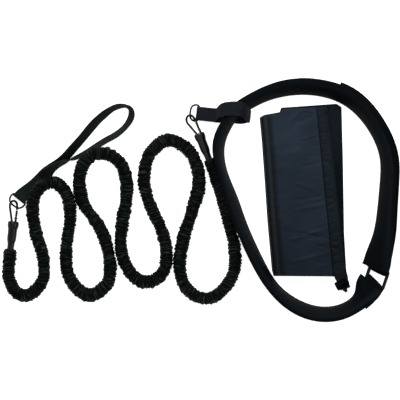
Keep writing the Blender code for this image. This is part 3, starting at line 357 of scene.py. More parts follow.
finishes = {"ruched": ruchedNylon()}


# End sleeves and the bungee cord between them

hookSides = {
    "left": {"sleeveTop": (-0.3414, -0.0391, 0.0106), "sleeveTowards": (-0.3469, -0.088, 0.0114)},
    "right": {"sleeveTop": (-0.0096, 0.1188, 0.0114), "sleeveTowards": (0.0093, 0.0707, 0.0114)},
}
sleeveLength = 0.05


def sleeveAxis(side):
    # the sleeve's top, its end and the way between them
    top = place(*hookSides[side]["sleeveTop"])
    run = (place(*hookSides[side]["sleeveTowards"]) - top).normalized()
    return top, top + run * sleeveLength, run


bungeeCord = {
    "diameter": 0.022,
    "foldPitch": 0.0078,
    "foldDepth": 0.0036,
    "valleyRadius": 0.0095,
    "meander": 0.8,
    "bulge": 0.0032,
    "ringSpacing": 0.00068,
    "sides": 28,
    "seed": 3.7,
    "clearance": 0.0003,
    "floorGap": 0.0004,
    "floorPress": 0.05,
}
gathers = {
    "wander": (70, 0.55),
    "which": (48, 0.6, 23.0),
    "height": (190, 0.8, 37.0),
    "swell": (26, 0.5, 51.0),
    "pucker": (430, 3.2, 71.0),
    "puckerDepth": 0.0009,
    "foldSets": ((1.0, 2.4, 0.0), (0.66, 2.2, 11.0)),
    "roundness": 0.62,
    "endFade": 0.0022,
}  # noises: scale along the cord, scale round it and offset; fold sets: share of the pitch, drift and offset
cordRoute = [
    (-0.3463, -0.1513), (-0.3238, -0.1723), (-0.2965, -0.1583), (-0.2877, -0.1159), (-0.3014, -0.0589),
    (-0.306, -0.006), (-0.2905, 0.0235), (-0.269, 0.03), (-0.2484, 0.0133), (-0.2398, -0.0209),
    (-0.2466, -0.091), (-0.2413, -0.1397), (-0.2067, -0.1705), (-0.177, -0.1553), (-0.1688, -0.113),
    (-0.1842, -0.0546), (-0.2144, -0.009), (-0.2226, 0.0401), (-0.206, 0.073), (-0.1763, 0.0808),
    (-0.15, 0.0654), (-0.139, 0.024), (-0.1476, -0.0529), (-0.1434, -0.1112), (-0.1027, -0.1478),
    (-0.0744, -0.1327), (-0.0667, -0.098), (-0.0831, -0.039), (-0.1057, 0.022), (-0.098, 0.0795),
    (-0.062, 0.1055), (-0.0276, 0.0886), (-0.009, 0.035), (-0.029, -0.0442), (-0.0428, -0.105),
    (-0.0315, -0.159), (0.0048, -0.1773), (0.0439, -0.1493), (0.0554, -0.105), (0.045, -0.041),
]
cordHeights = {
    4: 0.0116, 5: 0.0148, 6: 0.0204, 7: 0.021, 8: 0.0116, 16: 0.0116, 17: 0.024, 18: 0.0375, 19: 0.0375,
    20: 0.024, 21: 0.0116,
}  # route points by the crossings over the hand strap and over itself


def cordMiddleLine():
    _, leftEnd, leftRun = sleeveAxis("left")
    _, rightEnd, rightRun = sleeveAxis("right")
    straight = bungeeCord["diameter"]
    clearance = bungeeCord["clearance"]
    rest = bungeeCord["diameter"] / 2 + clearance
    rows = [tuple(leftEnd + leftRun * straight)]
    rows += [tuple(place(x, y, cordHeights.get(i, rest))) for i, (x, y) in enumerate(cordRoute)]
    rows.append(tuple(rightEnd + rightRun * straight))
    at, length = smoothThrough(rows, startSlope=tuple(leftRun), endSlope=tuple(-rightRun))
    line = [Vector(at(distance)) for distance in np.linspace(0, length, 900)]
    for point in line:
        point.z = max(point.z, rest)
    return [leftEnd + leftRun * clearance, *line, rightEnd + rightRun * clearance]


def ruchedTree():
    # fabric gathered on a cord: folds of uneven pitch that wander, merge and vary in height
    tree, start, end = newTree("ruchedSleeve")
    sizes = {
        key: treeInput(tree, key, "NodeSocketFloat", bungeeCord[key])
        for key in ("foldPitch", "foldDepth", "valleyRadius", "meander", "bulge", "ringSpacing", "seed")
    }
    sides = treeInput(tree, "sides", "NodeSocketInt", bungeeCord["sides"])
    value = start.outputs

    def calc(*step):
        return maths(tree, *step)

    def captured(geometry, **fields):
        # keeps what the fields say on a curve's points
        made = addNode(tree, "GeometryNodeCaptureAttribute")
        for name in fields:
            made.capture_items.new("FLOAT", name)
        tree.links.new(geometry, made.inputs[0])
        for name, socket in fields.items():
            tree.links.new(socket, made.inputs[name])
        return made.outputs

    curve = addNode(tree, "GeometryNodeMeshToCurve", {0: value["Geometry"]}).outputs[0]
    fine = addNode(tree, "GeometryNodeResampleCurve", {"Curve": curve}, mode="LENGTH")
    tree.links.new(value["ringSpacing"], fine.inputs["Length"])
    parameter = addNode(tree, "GeometryNodeSplineParameter").outputs
    spine = captured(fine.outputs[0], along=parameter["Length"], share=parameter["Factor"])
    radius = {"Radius": value["valleyRadius"]}
    circle = addNode(tree, "GeometryNodeCurvePrimitiveCircle", radius, mode="RADIUS")
    tree.links.new(value["sides"], circle.inputs["Resolution"])
    hoop = captured(circle.outputs[0], round=parameter["Factor"])
    skin = addNode(tree, "GeometryNodeCurveToMesh", {"Curve": spine[0], "Fill Caps": True})
    tree.links.new(hoop[0], skin.inputs["Profile Curve"])
    along, share = spine["along"], spine["share"]
    angle = calc("MULTIPLY", hoop["round"], 2 * math.pi)
    cosine, sine = calc("COSINE", angle), calc("SINE", angle)

    def field(alongScale, roundScale, offset):
        # smooth noise over the skin, from 0 to 1
        scaled = ((along, alongScale), (cosine, roundScale), (sine, roundScale))
        axes = {i: calc("MULTIPLY", socket, scale) for i, (socket, scale) in enumerate(scaled)}
        where = addNode(tree, "ShaderNodeCombineXYZ", axes).outputs[0]
        level = calc("ADD", value["seed"], offset)
        inputs = {"Scale": 1.0, "Detail": 1.0}
        made = addNode(tree, "ShaderNodeTexNoise", inputs, noise_dimensions="4D")
        tree.links.new(where, made.inputs["Vector"])
        tree.links.new(level, made.inputs["W"])
        return rampOf(tree, made.outputs[0], 0.27, 0.73)

    def fromMiddle(*noiseSizes):
        return calc("SUBTRACT", field(*noiseSizes), 0.5)

    def folds(pitchShare, drift, offset):
        # rounded crests between narrow valleys
        phase = calc("DIVIDE", along, calc("MULTIPLY", value["foldPitch"], pitchShare))
        wander = fromMiddle(*gathers["wander"], offset)
        phase = calc("MULTIPLY_ADD", wander, calc("MULTIPLY", value["meander"], drift), phase)
        wave = calc("ABSOLUTE", calc("SINE", calc("MULTIPLY", phase, math.pi)))
        return calc("POWER", wave, gathers["roundness"])

    first, second = [folds(*foldSet) for foldSet in gathers["foldSets"]]
    which = rampOf(tree, field(*gathers["which"]), 0.42, 0.58)
    kept = calc("MULTIPLY", first, calc("SUBTRACT", 1.0, which))
    both = calc("ADD", kept, calc("MULTIPLY", second, which))
    crest = calc("MULTIPLY", both, rampOf(tree, field(*gathers["height"]), 0.0, 1.0, 0.35, 1.15))
    swell = calc("MULTIPLY", fromMiddle(*gathers["swell"]), value["bulge"])
    pucker = calc("MULTIPLY", fromMiddle(*gathers["pucker"]), gathers["puckerDepth"])
    swell = calc("MULTIPLY_ADD", pucker, crest, swell)
    offset = calc("MULTIPLY_ADD", crest, value["foldDepth"], swell)
    nearEnd = calc("MINIMUM", share, calc("SUBTRACT", 1.0, share))
    offset = calc("MULTIPLY", offset, rampOf(tree, nearEnd, 0.0, gathers["endFade"]))
    normal = addNode(tree, "GeometryNodeInputNormal").outputs[0]
    push = addNode(tree, "ShaderNodeVectorMath", {0: normal}, operation="SCALE")
    tree.links.new(offset, push.inputs["Scale"])
    shaped = addNode(tree, "GeometryNodeSetPosition", {0: skin.outputs[0], "Offset": push.outputs[0]})
    stored = addNode(tree, "GeometryNodeStoreNamedAttribute", {0: shaped.outputs[0], "Name": "crest"})
    tree.links.new(crest, stored.inputs["Value"])
    endTree(tree, end, stored.outputs[0], finishes["ruched"])
    return tree, {**sizes, "sides": sides}


def makeBungeeCord():
    line = cordMiddleLine()
    tree, sockets = ruchedTree()
    values = {identifier: bungeeCord[key] for key, identifier in sockets.items()}
    guide = guideLines("cordGuide", [evenPoints(line, 1400)])
    mesh = grown("bungeeCord", guide, tree, values)
    low, press = bungeeCord["floorGap"], bungeeCord["floorPress"]
    for vertex in mesh.vertices:
        # the folds are pressed flat where they lie on the floor
        vertex.co.z = max(vertex.co.z, low + press * (vertex.co.z - low))
    cord = addPiece("bungeeCord", mesh, "belt", None, ["bungee_sleeve", "latex_tube"])
    print("bungee cord made:", len(mesh.polygons), "faces,", round(lineLength(line), 3), "m")


makeBungeeCord()


# Ribbon and skin meshes

def closedMesh(name, points, faces, mapping, sharpAngle):
    # a smooth closed mesh that faces outwards, with a UV place for each corner of its faces
    mesh = bpy.data.meshes.new(name)
    mesh.from_pydata(points, [], faces)
    layer = mesh.uv_layers.new(name="UVMap")
    layer.data.foreach_set("uv", [value for corners in mapping for corner in corners for value in corner])
    work = bmesh.new()
    work.from_mesh(mesh)
    bmesh.ops.recalc_face_normals(work, faces=work.faces)
    work.to_mesh(mesh)
    work.free()
    mesh.shade_smooth()
    mesh.set_sharp_from_angle(angle=math.radians(sharpAngle))
    return mesh


def skinOver(name, rings, around, along, closed=False):
    # a closed skin over rings of points, with a UV map in metres round it and along it
    size = len(rings[0])
    count = len(rings)
    points = [tuple(point) for ring in rings for point in ring]
    faces, mapping = [], []
    for i in range(count if closed else count - 1):
        after = (i + 1) % count
        for k in range(size):
            beside = (k + 1) % size
            faces.append((i * size + k, i * size + beside, after * size + beside, after * size + k))
            near, far = (around[k], around[k + 1]), (along[i], along[i + 1])
            mapping.append([(near[0], far[0]), (near[1], far[0]), (near[1], far[1]), (near[0], far[1])])
    if not closed:
        for i, turn in ((0, -1), (count - 1, 1)):
            faces.append([i * size + k for k in range(size)][::turn])
            mapping.append([(around[k] * 0.5, along[i] + (k % 2) * 0.0005) for k in range(size)][::turn])
    return closedMesh(name, points, faces, mapping, 50)


def distancesAlong(points):
    steps = [0.0]
    for first, second in zip(points, points[1:]):
        steps.append(steps[-1] + (second - first).length)
    return steps


def bandSection(width, thickness, across=8, edge=4):
    # the outline of flat webbing with rounded edges, as (across, out) pairs
    half = thickness / 2
    outline = [(x, half) for x in np.linspace(half - width / 2, width / 2 - half, across)]
    outline += [(width / 2 - half + half * math.cos(angle), half * math.sin(angle))
                for angle in np.linspace(math.pi / 2, -math.pi / 2, edge + 2)[1:-1]]
    outline += [(x, -half) for x in np.linspace(width / 2 - half, half - width / 2, across)]
    outline += [(half - width / 2 - half * math.cos(angle), half * math.sin(angle))
                for angle in np.linspace(-math.pi / 2, math.pi / 2, edge + 2)[1:-1]]
    return outline


def aroundOf(outline):
    closedLine = [*outline, outline[0]]
    return [0.0, *np.cumsum([math.dist(a, b) for a, b in zip(closedLine, closedLine[1:])])]


def bandAlong(name, rows, width, thickness, wave=0.0, waveLength=0.02, across=8, shares=None):
    # webbing through rows of (middle, direction across it, and where it lies on a face, that face's way)
    # shares: how much of the width each row keeps
    outline = bandSection(width, thickness, across)
    middles = [row[0] for row in rows]
    along = distancesAlong(middles)
    rings = []
    for i, (middle, side, *facing) in enumerate(rows):
        before, after = middles[max(i - 1, 0)], middles[min(i + 1, len(rows) - 1)]
        out = facing[0] if facing else (after - before).normalized().cross(side).normalized()
        ring = []
        for x, z in outline:
            shift = wave * noise.noise((along[i] / waveLength, x * 60, 3.1)) if wave else 0.0
            narrow = 1 + 0.25 * wave / width * noise.noise((along[i] / waveLength * 1.7, 9.0, 0.5))
            narrow = narrow * shares[i] if shares else narrow
            ring.append(middle + side * x * narrow + out * (z + shift))
        rings.append(ring)
    return skinOver(name, rings, aroundOf(outline), along)


def roundSkin(name, points, radii, sides=16, closed=False):
    # a round tube along a line of points, with least twist
    line = [Vector(point) for point in points]
    count = len(line)
    radii = [radii] * count if isinstance(radii, (int, float)) else radii
    tangents = []
    for i in range(count):
        before = line[i - 1] if (closed or i) else line[0]
        after = line[(i + 1) % count] if (closed or i < count - 1) else line[-1]
        tangents.append((after - before).normalized())
    side = tangents[0].orthogonal().normalized()
    sidesOf = [side]
    for i in range(1, count):
        turn = tangents[i - 1].rotation_difference(tangents[i])
        side = turn @ side
        side = (side - tangents[i] * side.dot(tangents[i])).normalized()
        sidesOf.append(side)
    twist = 0.0
    if closed:
        last = tangents[-1].rotation_difference(tangents[0]) @ sidesOf[-1]
        other = tangents[0].cross(sidesOf[0])
        twist = math.atan2(last.dot(other), last.dot(sidesOf[0]))
    rings = []
    for i in range(count):
        other = tangents[i].cross(sidesOf[i])
        ring = []
        for k in range(sides):
            angle = 2 * math.pi * k / sides - twist * i / count
            ring.append(line[i] + (sidesOf[i] * math.cos(angle) + other * math.sin(angle)) * radii[i])
        rings.append(ring)
    along = distancesAlong([*line, line[0]] if closed else line)
    around = [2 * math.pi * max(radii) * k / sides for k in range(sides + 1)]
    return skinOver(name, rings, around, along, closed)


# Moulded sleeves over the cord's ends

endSleeve = {
    "wall": 0.0016,
    "sides": 56,
    "outline": [
        (0.0074, 0), (0.0094, 0.0008), (0.0102, 0.003), (0.0102, 0.0092), (0.0083, 0.014), (0.0083, 0.033),
        (0.0062, 0.041), (0.0062, 0.05),
    ],  # radius and distance from the hook's end
    "corner": 0.003,
}


def roundedOutline(points, reach, steps=4):
    # an open outline whose corners are eased over a distance
    line = [Vector(point) for point in points]
    made = [line[0]]
    for before, corner, after in zip(line, line[1:], line[2:]):
        first = corner + (before - corner).normalized() * min(reach, (before - corner).length * 0.45)
        last = corner + (after - corner).normalized() * min(reach, (after - corner).length * 0.45)
        for i in range(steps + 1):
            share = i / steps
            made.append(first * (1 - share) ** 2 + corner * 2 * share * (1 - share) + last * share**2)
    return [*made, line[-1]]


def turnedSkin(name, outline, start, axis, sides):
    # a closed outline of (radius, distance) turned about an axis
    side = axis.orthogonal().normalized()
    other = axis.cross(side)
    angles = [2 * math.pi * k / sides for k in range(sides)]
    spokes = [side * math.cos(angle) + other * math.sin(angle) for angle in angles]
    rings = [[start + axis * distance + spoke * radius for spoke in spokes] for radius, distance in outline]
    along = distancesAlong([Vector(point) for point in [*outline, outline[0]]])
    around = [2 * math.pi * outline[0][0] * k / sides for k in range(sides + 1)]
    return skinOver(name, rings, around, along, closed=True)


def makeSleeves():
    outer = roundedOutline(endSleeve["outline"], endSleeve["corner"])
    inner = [Vector((radius - endSleeve["wall"], distance)) for radius, distance in outer[::-1]]
    for side in ("left", "right"):
        top, _, run = sleeveAxis(side)
        mesh = turnedSkin(side + "Sleeve", [*outer, *inner], top, run, endSleeve["sides"])
        finish = finishes["plastic" if side == "left" else "glossPlastic"]
        addPiece(side + "EndSleeve", mesh, "belt", finish, [side + "_end_sleeve"])
    print("sleeves made")


# Webbing, rings and stitches

webbing = {"width": 0.025, "thickness": 0.002, "clearance": 0.0003, "ringWire": 0.003}


weave = {"column": 0.0016, "pick": 0.0017, "slant": 0.55, "rim": (0.41, 0.47)}


def wovenWebbing(name, dark, light, specular=0.03, edgeHighlightLift=1.0):
    # columns of slanted picks, worn in patches, with a painted highlight towards both edges
    finish, tree, shader = newFinish(name, dark, 0.7, specular=specular)

    def calc(*step):
        return maths(tree, *step)

    across, along = clothPlace(tree)
    column = calc("DIVIDE", across, weave["column"])
    slant = calc("MULTIPLY", calc("PINGPONG", column, 1.0), weave["slant"])
    row = calc("ADD", calc("DIVIDE", along, weave["pick"]), slant)
    row = calc("MULTIPLY_ADD", calc("MODULO", calc("FLOOR", column), 2.0), 0.5, row)
    pick, strand = [calc("SINE", calc("MULTIPLY", calc("FRACT", count), math.pi)) for count in (row, column)]
    woven = calc("MULTIPLY", calc("POWER", pick, 0.6), calc("POWER", strand, 0.5))
    spot = objectSpot(tree)
    fuzz = noiseOf(tree, spot, 2600, 2)
    patches = noiseOf(tree, spot, 30, 2)
    tone = blendColours(tree, rampOf(tree, woven, 0.1, 0.9, 0.25, 1.0), dark, light)
    faded = [value * 1.3 for value in light]
    tone = blendColours(tree, rampOf(tree, patches, 0.45, 0.75, 0.0, 0.35), tone, faded)
    # a painted highlight along both rounded edges of the webbing
    width, thickness = webbing["width"], webbing["thickness"]
    girth = width + thickness * (math.pi / 2 - 1)
    beyond = calc("MODULO", calc("ADD", across, thickness * math.pi / 4), girth)
    fromMiddle = calc("ABSOLUTE", calc("SUBTRACT", beyond, girth / 2))
    rim = rampOf(tree, fromMiddle, *[width * share for share in weave["rim"]])
    tone = blendColours(tree, rim, tone, [value * edgeHighlightLift for value in light])
    normal = bumpOf(tree, fuzz, 0.00006, 0.5, bumpOf(tree, woven, 0.00028, 0.7))
    joinFinish(tree, shader, tone, None, normal)
    return finish


def grained(name, colour, roughness, grain, tones, gloss=None, bump=None, **look):
    # a finish whose tone, gloss and bumps follow one fine noise
    finish, tree, shader = newFinish(name, colour, roughness, **look)
    fine = noiseOf(tree, objectSpot(tree), *grain)
    rough = rampOf(tree, fine, 0.2, 0.8, *gloss) if gloss else None
    normal = bumpOf(tree, fine, *bump) if bump else None
    joinFinish(tree, shader, blendColours(tree, fine, *tones), rough, normal)
    return finish


def pileTape(name, tone, scale):
    # hook-and-loop tape
    tones = ([tone * share for share in (0.5, 0.5, 0.5)], [tone * share for share in (1.8, 1.8, 1.85)])
    return grained(name, (tone, tone, tone), 0.95, (scale, 4, 0.7), tones, bump=(0.0005, 1.0), specular=0.05)


def braidedCord(name, fleck):
    # fine round braid, with flecks of tan above a share of the noise
    finish, tree, shader = newFinish(name, (0.006, 0.007, 0.007), 0.6, specular=0.05)
    spot = objectSpot(tree)
    braid = noiseOf(tree, spot, 1700, 2)
    flecks = noiseOf(tree, spot, 330, 1)
    dark = blendColours(tree, braid, (0.0022, 0.0027, 0.0028), (0.011, 0.013, 0.013))
    tone = blendColours(tree, rampOf(tree, flecks, fleck, fleck + 0.05), dark, (0.04, 0.029, 0.017))
    joinFinish(tree, shader, tone, None, bumpOf(tree, braid, 0.0002, 0.8))
    return finish


def blackSteel():
    dark, worn = (0.004, 0.004, 0.0045), (0.03, 0.03, 0.032)
    finish, tree, shader = newFinish("blackSteel", dark, 0.36, 0.25, specular=0.22)
    spot = objectSpot(tree)
    grain = noiseOf(tree, spot, 900, 3, 0.6)
    wear = noiseOf(tree, spot, 140, 4, 0.65)
    tone = blendColours(tree, rampOf(tree, wear, 0.6, 0.78), dark, worn)
    rough = rampOf(tree, grain, 0.2, 0.8, 0.24, 0.42)
    joinFinish(tree, shader, tone, rough, bumpOf(tree, grain, 0.00004, 0.35))
    return finish


def mouldedPlastic(name, tone, roughness, specular):
    finish, tree, shader = newFinish(name, (tone, tone, tone * 1.04), roughness, specular=specular)
    spot = objectSpot(tree)
    grain = noiseOf(tree, spot, 1800, 3, 0.6)
    scuff = noiseOf(tree, spot, 160, 4, 0.7)
    dark, light = (tone * 0.85, tone * 0.86, tone * 0.9), (tone * 1.9, tone * 1.9, tone * 1.95)
    shade = blendColours(tree, rampOf(tree, scuff, 0.55, 0.8), dark, light)
    rough = rampOf(tree, scuff, 0.3, 0.75, roughness * 0.8, roughness * 1.3)
    joinFinish(tree, shader, shade, rough, bumpOf(tree, grain, 0.00005, 0.4))
    return finish


def satinNylon(name, dark, light, roughness=0.5, specular=0.03, creases=0.0, paintedShadeFalloff=None, crown=None,
               rolledEdgeHighlight=None):
    # the last three arguments: heights on the object's Y over which painted shade darkens the cloth downwards
    # and how dark it gets, then the tones of a painted highlight along the pad's crowned side and along a
    # rolled edge, the rolled one with painted shade beside it
    finish, tree, shader = newFinish(name, dark, roughness, specular=specular)
    across, along = clothPlace(tree)
    threadPitch = 0.00045
    turns = [maths(tree, "MULTIPLY", way, 2 * math.pi / threadPitch) for way in (across, along)]
    warp, weft = [maths(tree, "SINE", turn) for turn in turns]
    spot = objectSpot(tree)
    slubs = noiseOf(tree, spot, 500, 3, 0.6)
    patches = noiseOf(tree, spot, 14, 3)
    tone = blendColours(tree, rampOf(tree, patches, 0.3, 0.7), dark, light)
    if crown:
        # a painted highlight where the crown attribute is set
        lit = addNode(tree, "ShaderNodeAttribute", attribute_name="crown").outputs["Fac"]
        tone = blendColours(tree, lit, tone, crown)
    if rolledEdgeHighlight:
        # painted shade along the rolled edge, with a painted highlight band on the roll
        deep = [value * 0.3 for value in dark]
        shade = blendColours(tree, rampOf(tree, across, 0.013, 0.023), deep, tone)
        rising = rampOf(tree, across, 0.0035, 0.0085)
        falling = rampOf(tree, across, 0.0095, 0.014, 1.0, 0.0)
        tone = blendColours(tree, maths(tree, "MULTIPLY", rising, falling), shade, rolledEdgeHighlight)
    if paintedShadeFalloff:
        # painted shade: the cloth gets darker towards lower Y
        span = addNode(tree, "ShaderNodeSeparateXYZ", {0: spot})
        darker = addNode(tree, "ShaderNodeVectorMath", {0: tone}, operation="SCALE")
        tree.links.new(rampOf(tree, span.outputs[1], *paintedShadeFalloff, 1.0), darker.inputs["Scale"])
        tone = darker.outputs[0]
    soft = bumpOf(tree, maths(tree, "MULTIPLY", warp, weft), 0.00005, 0.5)
    if creases:
        soft = bumpOf(tree, noiseOf(tree, spot, 60, 5, 0.6), creases, 0.6, soft)
    rough = rampOf(tree, slubs, 0.25, 0.75, roughness - 0.06, roughness + 0.1)
    joinFinish(tree, shader, tone, rough, bumpOf(tree, slubs, 0.00008, 0.4, soft))
    return finish


threadTones = ((0.005, 0.006, 0.007), (0.012, 0.0135, 0.0155))
springTones = ((0.3, 0.3, 0.31), (0.52, 0.52, 0.53))
finishes.update({
    "strap": wovenWebbing("strapWebbing", (0.0055, 0.007, 0.0078), (0.0115, 0.0145, 0.0158), edgeHighlightLift=1.5),
    "tab": wovenWebbing("tabWebbing", (0.0055, 0.0065, 0.0085), (0.0125, 0.015, 0.0195), edgeHighlightLift=1.3),
    "tail": wovenWebbing("tailWebbing", (0.0018, 0.0023, 0.0026), (0.0055, 0.0068, 0.0076), 0.01),
    "thread": grained("sewingThread", (0.009, 0.01, 0.011), 0.6, (3000, 1), threadTones,
                      bump=(0.0001, 0.6), specular=0.05),
    "cordBraid": braidedCord("braidedCord", 0.9),
    "fleckedBraid": braidedCord("fleckedCord", 0.5),
    "steel": blackSteel(),
    "bright": grained("springSteel", (0.42, 0.42, 0.43), 0.28, (1600, 3, 0.6), springTones,
                      gloss=(0.2, 0.38), metallic=1.0),
    "plastic": mouldedPlastic("sleevePlastic", 0.0048, 0.2, 0.26),
    "glossPlastic": mouldedPlastic("glossySleevePlastic", 0.0048, 0.15, 0.55),
    "lockPlastic": mouldedPlastic("lockPlastic", 0.0014, 0.5, 0.02),
    # the pad's crown tone is a painted highlight
    "pad": satinNylon("padSatin", (0.0026, 0.0038, 0.0048), (0.0044, 0.0064, 0.0082), 0.55, 0.01, 0.0004,
                      crown=(0.0072, 0.01, 0.0128)),
    "padBack": satinNylon("padBackCloth", (0.0022, 0.0028, 0.0032), (0.0042, 0.0052, 0.006), 0.6, 0.01),
    # the navy finishes darken towards lower Y with painted shade, and the front's rolled edge gets a painted
    # highlight
    "navy": satinNylon("navyNylon", (0.0135, 0.021, 0.0335), (0.021, 0.032, 0.05), 0.44, 0.06, 0.0009,
                       paintedShadeFalloff=(-0.137, 0.15, 0.48), rolledEdgeHighlight=(0.022, 0.0255, 0.027)),
    # the back layer is the navy cloth with painted shade: darker overall and darker still below its top strip
    "shadedNavyBack": satinNylon("navyBackNylonPaintedShade", (0.0055, 0.0078, 0.0105), (0.0085, 0.012, 0.016), 0.5, 0.03,
                           0.0007, paintedShadeFalloff=(0.04, 0.12, 0.4)),
    "navyHem": satinNylon("navyHemNylon", (0.0062, 0.0098, 0.0138), (0.0102, 0.0162, 0.0222), 0.45, 0.06,
                          0.001, paintedShadeFalloff=(-0.137, 0.15, 0.6)),
    # the gathered end is the navy cloth darkened with painted shade
    "shadedNavyGather": satinNylon("navyGatheredNylonPaintedShade", (0.002, 0.003, 0.004), (0.005, 0.007, 0.0085), 0.5, 0.05,
                             0.0012),
    "loops": pileTape("loopTape", 0.008, 900),
    "hooks": pileTape("hookTape", 0.006, 1600),
})
makeSleeves()


stitches = {"pitch": 0.0028, "gap": 0.0007, "thread": 0.00045}
gapShare = 0.22  # of the pitch, between two stitches


def stitchTree():
    # short rounded stitches along a guide line, each a little sunk in the cloth
    tree, start, end = newTree("stitchRow")
    sockets = {key: treeInput(tree, key, "NodeSocketFloat", size) for key, size in stitches.items()}
    value = start.outputs
    curve = addNode(tree, "GeometryNodeMeshToCurve", {0: value["Geometry"]}).outputs[0]
    stops = addNode(tree, "GeometryNodeResampleCurve", {"Curve": curve}, mode="LENGTH")
    tree.links.new(value["pitch"], stops.inputs["Length"])
    ball = addNode(tree, "GeometryNodeMeshUVSphere", {"Segments": 6, "Rings": 4, "Radius": 1.0})
    tangent = addNode(tree, "GeometryNodeInputTangent").outputs[0]
    turn = addNode(tree, "FunctionNodeAlignRotationToVector", {"Vector": tangent}, axis="X")
    half = maths(tree, "MULTIPLY", maths(tree, "SUBTRACT", value["pitch"], value["gap"]), 0.5)
    size = addNode(tree, "ShaderNodeCombineXYZ", {0: half, 1: value["thread"], 2: value["thread"]})
    placed = addNode(tree, "GeometryNodeInstanceOnPoints", {
        "Points": stops.outputs[0], "Instance": ball.outputs[0], "Rotation": turn.outputs[0],
        "Scale": size.outputs[0],
    })
    endTree(tree, end, placed.outputs[0], finishes["thread"])
    return tree, sockets


stitching, stitchInputs = stitchTree()


def stitchRows(name, lines, replaces=(), pitch=stitches["pitch"], thread=stitches["thread"]):
    # stitches along several lines of points, as one piece
    sizes = {"pitch": pitch, "thread": thread, "gap": pitch * gapShare}
    values = {stitchInputs[key]: size for key, size in sizes.items()}
    mesh = grown(name, guideLines(name + "Guide", lines), stitching, values)
    return addPiece(name, mesh, "belt", None, replaces)


def boxLines(middle, along, across, out, length, width, lift=0.0002):
    # a box with a cross in it
    def corner(a, b):
        return middle + along * length / 2 * a + across * width / 2 * b + out * lift

    sides = [(-1, -1, 1, -1), (1, -1, 1, 1), (1, 1, -1, 1), (-1, 1, -1, -1)]
    cross = [(-0.9, -0.9, 0.9, 0.9), (-0.9, 0.9, 0.9, -0.9)]
    return [[corner(a, b), corner(c, d)] for a, b, c, d in sides + cross]


# Hand strap

handStrap = {
    "ringPlace": (-0.331, 0.0023),
    "ringHeight": 0.0094,
    "ringHeading": 52.0,
    "stemRows": 2,
    "dropLength": 0.032,
    "wrapLength": 0.02,
    "settleLength": 0.012,
    "firstRow": 0.005,
    "wave": 0.0004,
    "ringStitching": (0.038, 0.01),
    "loopStitching": (0.008, 0.008),
    "stitchedShare": 0.62,
}  # stitchings: distance from the ring or the strap's end, and length
strapRoute = [
    (-0.311, 0.0195, 1.5, 0.0), (-0.29, 0.039, 3, 0.0), (-0.2823, 0.0474, 26, 0.0),
    (-0.274, 0.0566, 53, 0.0), (-0.2543, 0.0703, 56, 0.0), (-0.238, 0.0875, 57, 0.0),
    (-0.2225, 0.105, 58, 0.0), (-0.208, 0.1225, 58, 0.0), (-0.191, 0.1415, 60, 0.0),
    (-0.174, 0.156, 66, 0.0), (-0.16, 0.1646, 72, 0.0), (-0.149, 0.1676, 76, 0.0),
    (-0.1385, 0.1668, 81, 0.0), (-0.1318, 0.1618, 72, 0.0), (-0.1298, 0.1535, 63, 0.0),
    (-0.1378, 0.1344, 62.5, 0.0), (-0.1558, 0.1174, 62, 0.0), (-0.1744, 0.1066, 62, 0.0),
    (-0.1928, 0.0955, 62, 0.0), (-0.2154, 0.0815, 65, 0.0), (-0.2263, 0.0762, 69, 0.0),
    (-0.2365, 0.0722, 78, 0.0002), (-0.2465, 0.0685, 99, 0.001), (-0.2565, 0.0646, 108, 0.0018),
    (-0.2675, 0.0586, 116, 0.003), (-0.279, 0.0488, 136, 0.005), (-0.2885, 0.0384, 180, 0.0054),
]  # middle as seen from above, lean from flat in degrees and lift


def roundBar(middle, heading, wire, turns=15):
    # rows of webbing round a bar, up its far side from below to above
    radius = wire / 2 + webbing["clearance"] + webbing["thickness"] / 2
    ahead, across = -level(heading), -level(heading - 90)
    rows = []
    for i in range(turns):
        angle = -math.pi / 2 + math.pi * i / (turns - 1)
        rows.append((middle + ahead * radius * math.cos(angle) + upwards * radius * math.sin(angle), across))
    return rows, radius


